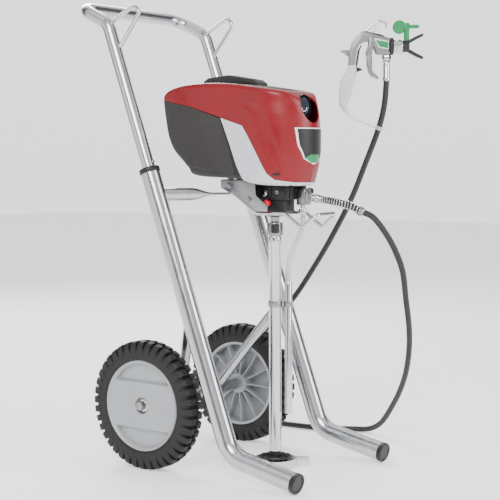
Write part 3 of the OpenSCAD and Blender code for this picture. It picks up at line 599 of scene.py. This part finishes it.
def rim_height(u, v, r):
    """Height of the rim's outer face: a flat band, a recess above and below it, and the hub's pit."""
    def step(x, width=2.5):
        t = max(0.0, min(1.0, x / width + 0.5))
        return t * t * (3 - 2 * t)
    h = 17.6 + 3.0 * step(r - 84.5, 3) - 2.0 * step(r - 88.6, 1.6)
    h -= 8.5 * step(abs(v) - 47, 3) * (1 - step(r - 81.5, 3))
    edge = max(abs(u) - 68, abs(v - 2) - 33)
    h -= 0.6 * (1 - step(abs(edge) - 0.8, 1.2))
    return h - 9 * (1 - step(r - 15.5, 2))


def rim(side, name, body, node):
    at = frame_at((side * TRACK_HALF, 0, WHEEL_R), X * side, Z)
    radii = [0, 6, 12, 14, 14.8, 15.6, 16.4, 17.4] + [20 + 2 * i for i in range(31)]
    radii += [81, 82, 83, 84, 85, 86, 87, 88, 88.8, 89.4]
    n = RIM_STEPS
    verts = []
    for r in radii:
        for k in range(n):
            a = 2 * math.pi * k / n
            v, u = r * math.cos(a), r * math.sin(a)
            verts.append(at @ Vector((v, u, rim_height(u, v, r))))
    back = [(89.4, -19.4), (88.4, -20), (84.6, -20), (83.6, -19), (83, 4), (24, 6), (22, 5), (21, -18.6),
            (20, -19.6), (0, -19.6)]
    verts += turned(back, at, n)
    disc = solid("disc", verts, bands(len(radii) + len(back), n), "rim_plastic", 28)
    ribs = []
    for k in range(RIM_RIBS):
        turn = at @ Matrix.Rotation(2 * math.pi * (k + 0.3) / RIM_RIBS, 4, "Z")
        spin = turn @ Matrix(((1, 0, 0, 0), (0, 0, 1, 0), (0, 1, 0, 0), (0, 0, 0, 1)))
        ribs.append(plate("rib", [(18, 7), (84, 5), (84, -17), (60, -14), (21, -16)], -1.1, 1.1, spin,
                          "rim_plastic", 0.4, 1))
    put(join(name, [disc] + ribs), body, "rim_plastic", node)


def wheels():
    for side, word in ((-1, "left"), (1, "right")):
        tyre(side, word + "_tyre_skin", word + "_wheel", word + "_tyre")
        rim(side, word + "_rim_skin", word + "_wheel", word + "_rim")
    nut = lathe("nut", [(12, 0), (12, 0.8), (9, 1.6), (9.4, 4), (8.4, 7), (5.4, 8.8), (3.4, 9), (3, 7.6)],
                frame_at((TRACK_HALF + 12.2, 0, WHEEL_R), X), CHROME, 32)
    put(join("axle_cap_nuts_skin", [nut, mirrored(nut, "nut2")]), "cart", STEEL, "axle_cap_nuts")


# ---- Covers of the pump unit ----
COVER_SIDE = [(-96, 757), (-40, 756), (2, 751), (24, 740), (29, 726), (13, 635), (-35, 592), (-44, 574),
              (-157, 571), (-190, 560), (-270, 556), (-279, 560), (-286, 590), (-290, 618), (-290, 668),
              (-287, 692), (-278, 716), (-263, 731), (-248, 738), (-160, 752)]
HALF_W, NOSE_R = 74.0, 78.0
COVER_MID = Vector((-130, 660))
RED_LINE = [(-240, 569), (-227, 580), (-205, 618), (-183, 654), (-171, 672), (-119, 688), (-43, 711),
            (29, 726)]
WHITE_LINE = [(-119, 688), (-140, 639), (-157, 595), (-176.5, 560)]
# Creases of the red cover, and the soft finger relief of the grey one
CREASE_FRONT = [(-150, 728), (-187, 714), (-206, 706), (-215, 694), (-221, 684), (-237, 648), (-258, 608),
                (-272, 588)]
CREASE_BACK = [(-124, 731), (-159, 718), (-185, 703), (-199, 692), (-205, 676), (-217, 642), (-240, 600),
               (-254, 578)]
RELIEF = [(-82, 679), (-99, 677), (-112, 665), (-120, 642)]


def smoothstep(x):
    x = max(0.0, min(1.0, x))
    return x * x * (3 - 2 * x)


def line_distance(p, line):
    """Signed distance from a polyline, positive on its left, and how far along it the nearest point is."""
    best = (1e9, 0, 0)
    for i, (a, b) in enumerate(zip(line, line[1:])):
        a, b = Vector(a), Vector(b)
        d = b - a
        t = max(0.0, min(1.0, (p - a).dot(d) / d.dot(d)))
        q = a + d * t
        dist = (p - q).length
        if dist < best[0]:
            cross = d.x * (p.y - a.y) - d.y * (p.x - a.x)
            best = (dist, dist if cross > 0 else -dist, i + t)
    return best[1], best[2]


def reach(z):
    """How far forward the nose comes at a height."""
    table = [(556, 276), (590, 286), (618, 290), (668, 290), (692, 288), (716, 283), (760, 281)]
    for (z0, r0), (z1, r1) in zip(table, table[1:]):
        if z <= z1:
            return r0 + (r1 - r0) * max(0, z - z0) / (z1 - z0)
    return table[-1][1]


def relief(p):
    """How far the side stands out at (y, z): the red cover's creases, and the grey one's relief and lip."""
    front, at = line_distance(p, CREASE_FRONT)
    back, _ = line_distance(p, CREASE_BACK)
    fade = smoothstep((at - 0.1) / 1.2)
    groove = smoothstep(front / 4 + 0.5) * (1 - smoothstep(back / 3 + 0.5))
    out = -1.9 * groove * fade + 1.0 * smoothstep(-front / 14) * fade
    dent, _ = line_distance(p, RELIEF)
    out -= 1.5 * math.exp(-(dent / 7) ** 2)
    if p.y < 594 + (p.x + 30) * 0.09 and p.x > -160:
        out -= 1.6
    return out


def half_width(p, inset):
    """Half the covers' width at (y, z), less the inset. The nose is round in plan."""
    ahead = -p.x - (reach(p.y) - NOSE_R)
    w = HALF_W * math.sqrt(max(0.0, 1 - (ahead / NOSE_R) ** 2)) if ahead > 0 else HALF_W
    if w > 30 and not inset:
        w += relief(p) * smoothstep((w - 30) / 25) - 1.2
    return max(0.0, w - inset)


def resample(pts, step):
    """Evenly spaced points round the outline, after its corners have been cut three times."""
    pts = [Vector(p) for p in pts]
    for _ in range(3):
        pts = [q for a, b in zip(pts, pts[1:] + pts[:1]) for q in (a.lerp(b, 0.22), a.lerp(b, 0.78))]
    out, carry = [], 0.0
    for a, b in zip(pts, pts[1:] + pts[:1]):
        d = (b - a).length
        s = carry
        while s < d:
            out.append(a.lerp(b, s / d))
            s += step
        carry = s - d
    return out


def cover_solid(name, step, rings, inset, mat):
    """The closed shape of all the covers together, or of the room inside them."""
    outline = resample(COVER_SIDE, step)
    n = len(outline)
    normals = []
    for i in range(n):
        d = outline[(i + 1) % n] - outline[i - 1]
        normals.append(Vector((d.y, -d.x)).normalized())
    if (COVER_MID - outline[0]).dot(normals[0]) < 0:
        normals = [-v for v in normals]
    radius = 9.0
    rows = []
    for d in (0, 0.5, 1.4, 2.8, 4.6, 6.6, radius):
        drop = radius * (1 - math.sqrt(max(0.0, 1 - (1 - d / radius) ** 2)))
        rows.append([(outline[i] + normals[i] * (d + inset), drop) for i in range(n)])
    base = [p for p, _ in rows[-1]]
    rows += [[(p.lerp(COVER_MID, k / (rings + 1)), 0.0) for p in base] for k in range(1, rings + 1)]
    verts, faces = [], []
    for side in (-1, 1):
        for row in rows:
            for p, drop in row:
                w = half_width(p, inset)
                verts.append((side * max(0.06, w - drop * smoothstep(w / 50)), p.x, p.y))
    count = len(rows)
    for s in (0, 1):
        o = s * count * n
        faces += bands(count, n, o)
        verts.append(((-1, 1)[s] * half_width(COVER_MID, inset), COVER_MID.x, COVER_MID.y))
        mid = len(verts) - 1
        faces += [(o + (count - 1) * n + k, o + (count - 1) * n + (k + 1) % n, mid) for k in range(n)]
    faces += [(k, (k + 1) % n, count * n + (k + 1) % n, count * n + k) for k in range(n)]
    return solid(name, verts, faces, mat, 24)


def inset_outline(pts, d):
    """A polygon moved inwards by d on every side."""
    pts = [Vector(p) for p in pts]
    area = sum(a.x * b.y - b.x * a.y for a, b in zip(pts, pts[1:] + pts[:1]))
    sign = 1 if area > 0 else -1
    out = []
    for a, p, b in zip(pts[-1:] + pts, pts, pts[1:] + pts[:1]):
        e, f = (p - a).normalized(), (b - p).normalized()
        n1, n2 = Vector((-e.y, e.x)) * sign, Vector((-f.y, f.x)) * sign
        m = (n1 + n2).normalized()
        out.append(p + m * d / max(0.4, m.dot(n1)))
    return out


def pump_hole(mat):
    """The opening in the covers' floor, where the pump comes through."""
    return block("pump_hole", (-40, -262, 540), (40, -62, 590), mat, 0)


def covers():
    zones = {
        "red": RED_LINE + [(60, 732), (60, 800), (-330, 800), (-330, 560), (-267, 564)],
        "white": RED_LINE[:6] + WHITE_LINE[1:] + [(-176.5, 540), (-330, 540), (-330, 560), (-267, 564)],
        "grey": [(-117, 687.4), (-43, 711), (29, 726), (60, 732), (60, 540), (-176, 540), (-158, 573),
                 (-150, 595), (-134, 640)],
    }
    for word, slot, node in (("red", "red_plastic", "red_cover"), ("white", "white_plastic", "white_cover"),
                             ("grey", "charcoal_plastic", "grey_cover")):
        piece = cover_solid(word + "_shell", 3.2, 30, 0, slot)
        room = cover_solid("room", 12, 6, COVER_WALL, slot)
        cut(piece, room)
        zone = plate("zone", inset_outline(zones[word], SEAM_GAP), -120, 120, YZ, slot, 0)
        cut(piece, zone, "INTERSECT")
        if word != "grey":
            well = lathe("well", [(23.4, -22), (23.4, 2), (33, 34)], frame_at((0, -258, KNOB_Z), -Y), slot, 64)
            cut(piece, well)
        cut(piece, pump_hole(slot))
        put(shade(piece, 26), "cart", slot, node)
    core = cover_solid("seam_core_shape", 8, 10, 1.6, BLACK)
    room = cover_solid("room", 12, 6, 4.5, BLACK)
    cut(core, room)
    strip = [(-119, 689), (-140, 639), (-157, 595), (-180, 556), (-150, 556), (-150, 590), (-130, 640),
             (-112, 688)]
    cut(core, plate("zone", strip, -120, 120, YZ, BLACK, 0), "INTERSECT")
    cut(core, pump_hole(BLACK))
    core.name = "seam_strip"
    put(core, "cart", BLACK)
    well = ring("knob_well", [(23.2, 0), (23.2, 26), (22.2, 26), (22.2, 2), (4.6, 2), (4.6, 0)],
                frame_at((0, -240, KNOB_Z), -Y), BLACK, 64)
    put(well, "cart", BLACK)


def top():
    grip = [(-32, 756), (-34, 764), (-46, 770), (-96, 774), (-158, 763), (-169, 756), (-169, 750),
            (-150, 754), (-96, 757), (-40, 756)]
    put(plate("carry_handle_skin", grip, -17, 17, YZ, "charcoal_plastic", 2.2, 3), "cart",
        "charcoal_plastic", "carry_handle")
    rows = [(8, 749.6), (-40, 756), (-96, 757.1), (-160, 752.3), (-200, 746), (-232, 741)]
    verts = [(s * w, y, z + h) for y, z, w in ((y, z, 34 if y > -220 else 26) for y, z in rows)
             for s in (-1, 1) for h in (0.5, -1.5)]
    faces = []
    for i in range(len(rows) - 1):
        a, b = 4 * i, 4 * (i + 1)
        faces += [(a, b, b + 2, a + 2), (a + 1, a + 3, b + 3, b + 1), (a, a + 1, b + 1, b),
                  (a + 2, b + 2, b + 3, a + 3)]
    faces += [(0, 2, 3, 1)] + [tuple(4 * (len(rows) - 1) + k for k in (0, 1, 3, 2))]
    put(bevel(solid("top_panel", verts, faces, "charcoal_plastic"), 0.5), "cart", "charcoal_plastic")


def nose_y(x, z, out=0.0):
    return -(NOSE_R * math.sqrt(max(0, 1 - (x / HALF_W) ** 2)) + reach(z) - NOSE_R) - out


def label():
    """Shield on the nose: light border, dark field, green foot. It carries no lettering."""
    def half(z):
        table = [(597, 0), (603, 17), (608, 27), (634, 40), (667, 44.5)]
        for (z0, w0), (z1, w1) in zip(table, table[1:]):
            if z <= z1:
                return w0 + (w1 - w0) * (z - z0) / (z1 - z0)
        return table[-1][1]
    cols = [-1, -0.99, -0.93, -0.92] + [-0.9 + 0.06 * i for i in range(31)] + [0.92, 0.93, 0.99, 1]
    heights = [597, 597.5, 598.2, 599, 600.5] + [602 + 2 * i for i in range(31)] + [663.2, 665, 667]
    n = len(cols)
    verts = []
    for out in (0.9, -1.0):
        for z in heights:
            for c in cols:
                x = c * half(z)
                verts.append((x, nose_y(x, z, out if abs(c) < 1 and 597 < z < 667 else min(out, 0.3)), z))
    m = len(heights) * n
    faces, index = [], []
    for i in range(len(heights) - 1):
        for k in range(n - 1):
            c = abs((cols[k] + cols[k + 1]) / 2)
            z = (heights[i] + heights[i + 1]) / 2
            kind = 0
            if c > 0.925 or z > 665 or z < 600.8 or (z < 608 and c > 0.82):
                kind = 1
            elif z < 617 - 9 * c * c:
                kind = 2
            faces.append((i * n + k, i * n + k + 1, (i + 1) * n + k + 1, (i + 1) * n + k))
            faces.append((m + i * n + k, m + i * n + k + 1, m + (i + 1) * n + k + 1, m + (i + 1) * n + k))
            index += [kind, 0]
    h = len(heights) - 1
    for k in range(n - 1):
        faces += [(k, k + 1, m + k + 1, m + k),
                  (h * n + k, h * n + k + 1, m + h * n + k + 1, m + h * n + k)]
        index += [1, 1]
    for i in range(h):
        faces += [(i * n, (i + 1) * n, m + (i + 1) * n, m + i * n),
                  (i * n + n - 1, (i + 1) * n + n - 1, m + (i + 1) * n + n - 1, m + i * n + n - 1)]
        index += [1, 1]
    obj = solid("label_plate_skin", verts, faces, ["label", "print_white", "green_plastic"], index=index)
    put(obj, "cart", "label", "label_plate")


def knob():
    at = frame_at((0, -246, KNOB_Z), -Y, Z)
    outline = []
    for k in range(KNOB_FLUTES * 6):
        a = 2 * math.pi * k / (KNOB_FLUTES * 6)
        dip = 1.5 * max(0, math.cos(a * KNOB_FLUTES)) ** 2
        outline.append(((18.6 - dip) * math.cos(a), (18.6 - dip) * math.sin(a)))
    grip = plate("grip", outline, 2, 18.5, at, "knob_plastic", 0.6)
    skirt = lathe("skirt", [(22.2, -5), (22.4, 3), (20.6, 5), (18, 5.6)], at, "knob_plastic", 64)
    face = ring("face", [(16.6, 18), (16.6, 19.6), (14.8, 20), (13.4, 19.4), (13.4, 18)], at,
                "knob_plastic", 64)
    pads = []
    for k in range(KNOB_PADS):
        a0, a1 = ((k + share) * math.pi / 4 for share in (0.14, 0.86))
        wedge = [(r * math.cos(a), r * math.sin(a)) for r, a in
                 ((5.5, a0), (12.6, a0), (12.9, (a0 + a1) / 2), (12.6, a1), (5.5, a1))]
        pads.append(plate("pad", wedge, 18, 19.5, at, "knob_plastic", 0.4, 1))
    mark = sweep("mark", [at @ Vector((9.2 * math.cos(a), 9.2 * math.sin(a), 19.8)) for a in
                          (math.radians(100 + 16 * i) for i in range(11))], 0.8, "print_white", 8)
    put(join("pressure_knob_skin", [skirt, grip, face, mark] + pads), "knob", "knob_plastic",
        "pressure_knob")


# ---- Pump ----
AT_PUMP = Matrix.Translation((0, PUMP_Y, 0))


def pump():
    parts = [
        block("head", (-24, -244, 529), (24, -152, 558), BLACK, 2.5),
        block("flange", (-30, -246, 556), (30, -152, 576), BLACK, 1.5),
        block("lower", (-18, -232, 505), (18, -172, 531), BLACK, 3),
        block("ear", (-27, -238, 534), (27, -214, 548), BLACK, 1.5),
        lathe("collar", [(15, 496), (17, 498), (17, 503), (14, 506)], AT_PUMP, BLACK),
        lathe("neck", [(8.5, 484.5), (9, 485.5), (9, 497)], AT_PUMP, STEEL),
    ]
    for x in (-18, 0, 18):
        parts.append(block("web", (x - 1.2, -247, 531), (x + 1.2, -243, 555), BLACK, 0.4))
    for y in (-232, -205, -178):
        parts.append(block("web", (-26, y - 1.2, 531), (-23, y + 1.2, 555), BLACK, 0.4))
        parts.append(lathe("screw", [(4.5, 0), (4.5, 2.5), (3.6, 3.2), (2.2, 3.2), (2, 1.6)],
                           frame_at((-24, y + 12, 544), -X), STEEL, 20))
    put(join("pump_block_skin", parts), "cart", BLACK, "pump_block")
    fitting = join("prime_fitting", [
        lathe("hex", [(7.5, 0), (8, 0.6), (8, 5), (7.5, 5.6)], frame_at((-17, PUMP_Y + 4, 541), -X),
              CHROME, 6),
        lathe("stem", [(5, 0), (5, 9), (4, 10)], frame_at((-20, PUMP_Y + 4, 541), -X), CHROME, 24)])
    put(fitting, "cart", STEEL)
    button = [(3.5, -4), (3.5, 4), (6.2, 4.2), (6.5, 5), (6.5, 12), (6, 13.6), (4, 15.4), (1.5, 16)]
    put(lathe("prime_button_skin", button, frame_at((-18, PUMP_Y, 523), -X), "red_button", 32),
        "prime", "red_button", "prime_button")
    knob_parts = [lathe("core", [(10.5, 458), (15.5, 459), (16, 461), (16, 482), (15, 484), (11.2, 484)],
                        AT_PUMP, STEEL, 40)]
    for a in (math.radians(36), math.radians(216)):
        spin = AT_PUMP @ Matrix.Rotation(a, 4, "Z")
        lobe = [(8, -8), (20, -8.5), (25, -5), (26, 0), (25, 5), (20, 8.5), (8, 8)]
        knob_parts.append(plate("lobe", lobe, 464, 482, spin, BLACK, 3, 3))
    put(join("coupling_nut_skin", knob_parts), "suction_nut", BLACK, "coupling_nut")
    outlet()


def outlet():
    exit_at = Vector(GUARD_ROUTE[0])
    d = (exit_at - Vector((16, -256, 534))).normalized()
    parts = [
        block("body", (6, -262, 519), (30, -243, 551), CAST, 2),
        block("step", (8, -266, 524), (26, -260, 545), CAST, 1.5),
        lathe("nut", [(8.6, 0), (9.4, 1), (9.4, 11), (8.6, 12)], frame_at(exit_at - d * 18, d),
              CHROME, 6),
        lathe("stem", [(6.6, 0), (6.6, 8)], frame_at(exit_at - d * 7, d), STEEL, 32),
        lathe("plug", [(6, 0), (6.4, 0.8), (6.4, 6), (5.4, 8), (3, 8.6)], frame_at((16, -252, 551), Z),
              BLACK, 24),
        lathe("elbow", [(5, 0), (5, 10), (4, 11)], frame_at((28, -252, 545), X), CHROME, 24),
        lathe("cap", [(6.5, 0), (7, 1), (7, 7), (6, 8.4)], frame_at((37, -252, 545), X),
              BLACK, 24),
        lathe("return", [(4.4, 482), (4.4, 500), (7.4, 501), (7.8, 502), (7.8, 511), (7.4, 512), (4.6, 513),
                         (4.6, 522)], Matrix.Translation((14, -253, 0)), CHROME, 24),
    ]
    put(join("outlet_fitting_skin", parts), "cart", STEEL, "outlet_fitting")


def suction():
    at = AT_PUMP
    tube = [(12.3, 33), (12.3, 436), (12.9, 437), (12.9, 455), (12.3, 457), (10.2, 457.4), (10.2, 483),
            (8.7, 483), (8.7, 33)]
    put(ring("suction_tube_skin", tube, at, CHROME, 56), "cart", ZINC, "suction_tube")
    strainer = [ring("disc", [(8.4, 23.6), (30, 22.8), (34, 21.6), (34.2, 20.4), (33, 20), (8.4, 19.6)], at,
                     BLACK, 72),
                lathe("neck", [(11, 22), (11, 31), (9, 32.6), (8.5, 38)], at, BLACK, 40)]
    for k in range(12):
        spin = at @ Matrix.Rotation(math.pi * k / 6, 4, "Z")
        strainer.append(block("bar", (21, -2, 4.6), (24, 2, 20.4), BLACK, 0.5, 1, spin))
        strainer.append(block("rib", (10, -0.8, 22), (30, 0.8, 24.6), BLACK, 0.3, 1, spin))
    strainer.append(lathe("base", [(24, 4.5), (24, 7), (22, 7.6)], at, BLACK, 48))
    put(join("strainer_skin", strainer), "cart", BLACK, "strainer")
    cup = [ring("bowl", [(38, 0.6), (39, 0), (42, 1), (43, 4), (43, 17), (42.4, 18), (41, 18), (40.4, 17),
                         (40.2, 5), (39, 3), (20, 3), (20, 0.6)], at, "cup_plastic", 96),
           lathe("floor", [(21, 0.6), (21, 2.8)], at, "cup_plastic", 48)]
    turn = at @ Matrix.Rotation(math.radians(-54), 4, "Z")
    tab = [(40, -15), (68, -15), (68, -4), (63, -3), (63, 3), (68, 4), (68, 15), (40, 15)]
    cup.append(plate("tab", tab, 12, 18, turn, "cup_plastic", 1.2))
    put(join("drip_cup_skin", cup), "cart", "cup_plastic", "drip_cup")
    back = Matrix.Translation((14, -219, 0))
    put(ring("return_tube_skin", [(7.5, 107), (7.5, 365), (6.6, 367), (3.4, 367.4), (3.4, 389), (2.1, 389),
                                  (2.1, 107)], back, CHROME, 40), "cart", ZINC, "return_tube")
    route = [(14, -219, 369), (14, -219, 395), (15, -224, 420), (16, -236, 445), (15, -248, 466),
             (14, -253, 480), (14, -253, 494)]
    put(sweep("return_hose_skin", smooth_route(route, 8), 5, "clear_hose", 20), "cart", "clear_hose",
        "return_hose")
    band = [ring("band", [(12.35, 318), (13.6, 318), (13.9, 319), (13.9, 329), (13.6, 330),
                          (12.35, 330)], at, STEEL, 48),
            ring("band2", [(7.55, 318), (8.8, 318), (9, 319), (9, 329), (8.8, 330), (7.55, 330)], back,
                 STEEL, 40),
            block("web", (-6, -2.2, 318.4), (5, 2.2, 329.6), STEEL, 0.5, 1,
                  Matrix.Translation((8.5, -210.3, 0)) @ Matrix.Rotation(math.radians(-57.5), 4, "Z"))]
    put(join("tube_clip_skin", band), "cart", STEEL, "tube_clip")


# ---- Spray gun: x forward along the spray, z the height ----
GUN = Matrix.Translation(GUN_AT) @ Matrix.Rotation(GUN_TURN, 4, "Z")
GUN_XZ = GUN @ Matrix(((1, 0, 0, 0), (0, 0, -1, 0), (0, 1, 0, 0), (0, 0, 0, 1)))


def gun_plate(name, outline, half, mat, edge=1.0, segments=2):
    return plate(name, outline, -half, half, GUN_XZ, mat, edge, segments)


def gun_turned(name, profile, mat, n=48):
    return lathe(name, profile, GUN @ frame_at((0, 0, SPRAY_Z), X, Z), mat, n)


def gun():
    body = [
        gun_plate("frame", [(-51, 862), (-45, 863), (6, 850), (6, 838), (-26, 843), (-44, 843), (-55, 838),
                            (-60, 826), (-65, 790), (-78, 788), (-76, 822), (-70, 843), (-60, 856)], 8,
                  CAST, 2.2, 3),
        gun_plate("head", [(-30, 851), (-12, 852), (6, 848), (6, 817), (2, 815.5), (-22, 817.4),
                           (-25, 826), (-31, 838)],
                  11.5, CAST, 3, 3),
        gun_plate("spur", [(-70, 826), (-90, 827.4), (-95, 825), (-91, 822.4), (-76, 812)], 3.5,
                  CAST, 1.2),
        lathe("inlet", [(6.2, 801), (7, 802), (7, 806), (8.8, 806.6), (9.2, 807.4), (9.2, 814.4),
                        (8.8, 815.2), (7, 816), (7, 819)], Matrix.Translation(GUN_AT), CHROME, 6),
        gun_plate("spine", [(-47, 864.6), (-12, 857.4), (-4, 853.6), (-10, 853), (-46, 861)], 6,
                  BLACK, 0.6),
        gun_plate("inner", [(-53, 835), (-58, 826), (-63.5, 790), (-60, 790), (-54, 828), (-49, 836)], 6.4,
                  "charcoal_plastic", 0.8),
    ]
    for s in (-1, 1):
        panel = [(-26, 848), (3.5, 843.4), (3.5, 826.6), (-17, 830.6)]
        inner = [(-23.4, 845.6), (2, 841.8), (2, 828.6), (-15.6, 832.2)]
        body.append(plate("panel", panel, s * 11, s * 12.3, GUN_XZ, "print_white", 0.3, 1))
        body.append(plate("panel", inner, s * 12, s * 12.8, GUN_XZ, "green_plastic", 0.3, 1))
    put(join("gun_body_skin", body), "cart", CAST, "gun_body")
    grip()
    hook()
    trigger()
    nozzle()


def grip():
    left = [(-79, 795), (-62, 797), (-61, 783), (-63, 778), (-66, 762), (-72, 740), (-81, 714), (-76, 705),
            (-78, 700), (-86, 702), (-95, 716), (-96, 738), (-93, 766), (-82, 782)]
    parts = [gun_plate("handle", left, 11, "white_plastic", 4, 4)]
    core = [(-77, 796), (-61, 796), (-60.6, 782), (-65.4, 762), (-71.2, 740), (-80.4, 714), (-88, 716),
            (-86, 750)]
    parts.append(gun_plate("front", core, 8, CAST, 2.4, 3))
    for k in range(8):
        t = k / 7
        z = 776 - 58 * t
        x = -63.2 - 17.2 * t
        outline = [(x - 1, z + 2.2), (x + 1.8, z + 1), (x + 1.8, z - 1), (x - 2, z - 2.2)]
        parts.append(gun_plate("ridge", outline, 7, CAST, 0.7, 2))
    wire = smooth_route([(-80, 0, 702), (-72, 0, 694), (-54, 0, 684), (-36, 0, 676), (-20, -4, 671)], 6)
    parts.append(sweep("strap", [GUN @ p for p in wire], 1.1, "clear_hose", 8))
    clip_at = Vector((222, -301, 671))
    parts.append(ring("clip", [(6.2, -4), (7.6, -4), (8, -3), (8, 3), (7.6, 4), (6.2, 4)],
                      frame_at(clip_at, Vector((10, 39, -95))), "clear_hose", 32))
    put(join("gun_grip_skin", parts), "cart", "white_plastic", "gun_grip")


def hook():
    route = rounded([(-46, 0, 861), (-17, 0, 885), (-4, 0, 881.5), (0.5, 0, 878), (-1, 0, 871)], 3, 5)
    parts = [sweep("arm", [GUN @ p for p in route], 2.6, CHROME, 14),
             sweep("leg", [GUN @ Vector(p) for p in ((-20, 0, 880), (-29, 0, 861))], 2.2, CHROME, 12)]
    put(join("gun_hook_skin", parts), "cart", STEEL, "gun_hook")


def trigger():
    parts = []
    cheek = [(-36, 848), (-33, 851), (-27.5, 850), (-27, 842), (-28.6, 828), (-31, 812), (-40, 812),
             (-42, 822), (-37, 836)]
    for s in (-1, 1):
        parts.append(plate("cheek", cheek, s * 12.6, s * 14.2, GUN_XZ, CAST, 0.6))
    bar = [(-41, 816), (-31.5, 816), (-32, 806), (-31, 792), (-28, 781), (-17, 772), (-18, 769), (-30, 773),
           (-36, 781), (-40, 795)]
    parts.append(gun_plate("bar", bar, 14, CAST, 2.4, 3))
    edge = [(-32.6, 817), (-30.4, 817), (-29.6, 792), (-30.4, 778), (-33, 779), (-32.4, 795)]
    parts.append(gun_plate("edge", edge, 10, BLACK, 0.6))
    tip_end = [(-22, 775), (-16.4, 771.6), (-17.2, 768), (-23, 770.6)]
    parts.append(gun_plate("end", tip_end, 6, BLACK, 0.8))
    put(join("gun_trigger_skin", parts), "trigger", CAST, "gun_trigger")
    half = [(4.2, -15.6), (4.5, -15), (4.5, -14.3), (2.9, -14.2)]
    pin = lathe("trigger_pin_skin", half + [(r, -h) for r, h in reversed(half)],
                GUN @ frame_at((-30, 0, 844), Y), STEEL, 24)
    put(pin, "cart", STEEL, "trigger_pin")
    prong = [(-61, 792), (-55, 790.6), (-50, 788.4), (-50, 785.4), (-56, 784.6), (-59, 784)]
    lock = [gun_plate("prong", prong, 4, BLACK, 0.8),
            lathe("boss", [(3.4, -10), (4, -9), (4, 9), (3.4, 10)], GUN @ frame_at((-58, 0, 787), Y),
                  BLACK, 24)]
    put(join("trigger_lock_skin", lock), "lock", BLACK, "trigger_lock")


def nozzle():
    parts = [gun_turned("seal", [(16, 5.4), (17.4, 6.4), (17.6, 12), (16.4, 13.4), (13.4, 13.8)],
                        BLACK),
             gun_turned("nut", [(13, 13), (13.8, 14), (13.8, 17.4), (12.6, 18.2), (12.6, 20), (13.8, 20.8),
                                (13.8, 29.6), (13, 31)], CHROME)]
    put(join("diffuser_skin", parts), "cart", STEEL, "diffuser")
    guard = [gun_turned("hub", [(10.6, 31.4), (11.8, 32.4), (11.8, 42), (9.6, 45.6), (5, 46), (4.4, 44)],
                        BLACK)]
    for s in (-1, 1):
        wing = [(40, s * 8), (47, s * 6.4), (60, s * 14), (73, s * 20.4), (74, s * 24.4), (71.5, s * 25.6),
                (58, s * 20), (42, s * 11.6)]
        guard.append(gun_plate("wing", [(x, SPRAY_Z + z) for x, z in wing], 6.5, BLACK, 1.6, 2))
    put(join("tip_guard_skin", guard), "guard", BLACK, "tip_guard")
    stem_at = GUN @ Matrix.Translation((40, 0, 0))
    arrow = [(44, 869.4), (62, 869.4), (68, 873), (62, 876.8), (44, 876.8)]
    tip = [lathe("stem", [(5, 823), (5, 848), (5.6, 849), (5.8, 866)], stem_at, "green_plastic", 32),
           gun_plate("head", [(33.6, 864), (45.8, 864), (46, 880), (34, 880.4)], 5, "green_plastic", 1.4),
           gun_plate("arrow", arrow, 3.4, "green_plastic", 1),
           lathe("disc", [(12.4, -3.6), (13.6, -2.6), (13.6, 2.6), (12.4, 3.6), (10.6, 3.6), (10, 2.6)],
                 GUN @ frame_at((25.5, 0, 872), Y), "green_plastic", 40)]
    put(join("spray_tip_skin", tip), "tip", "green_plastic", "spray_tip")


cart()
bracket()
handle()
wheels()
covers()
top()
label()
knob()
pump()
suction()
gun()

# ---- CAD nodes that stay as they are get the finish of their slot ----
slots = {row["node"]: row["material_slot"] for row in frame["record"]["subparts"]}
for node, obj in frame["nodes"].items():
    obj.data.materials.clear()
    obj.data.materials.append(MAT[slots[node]])
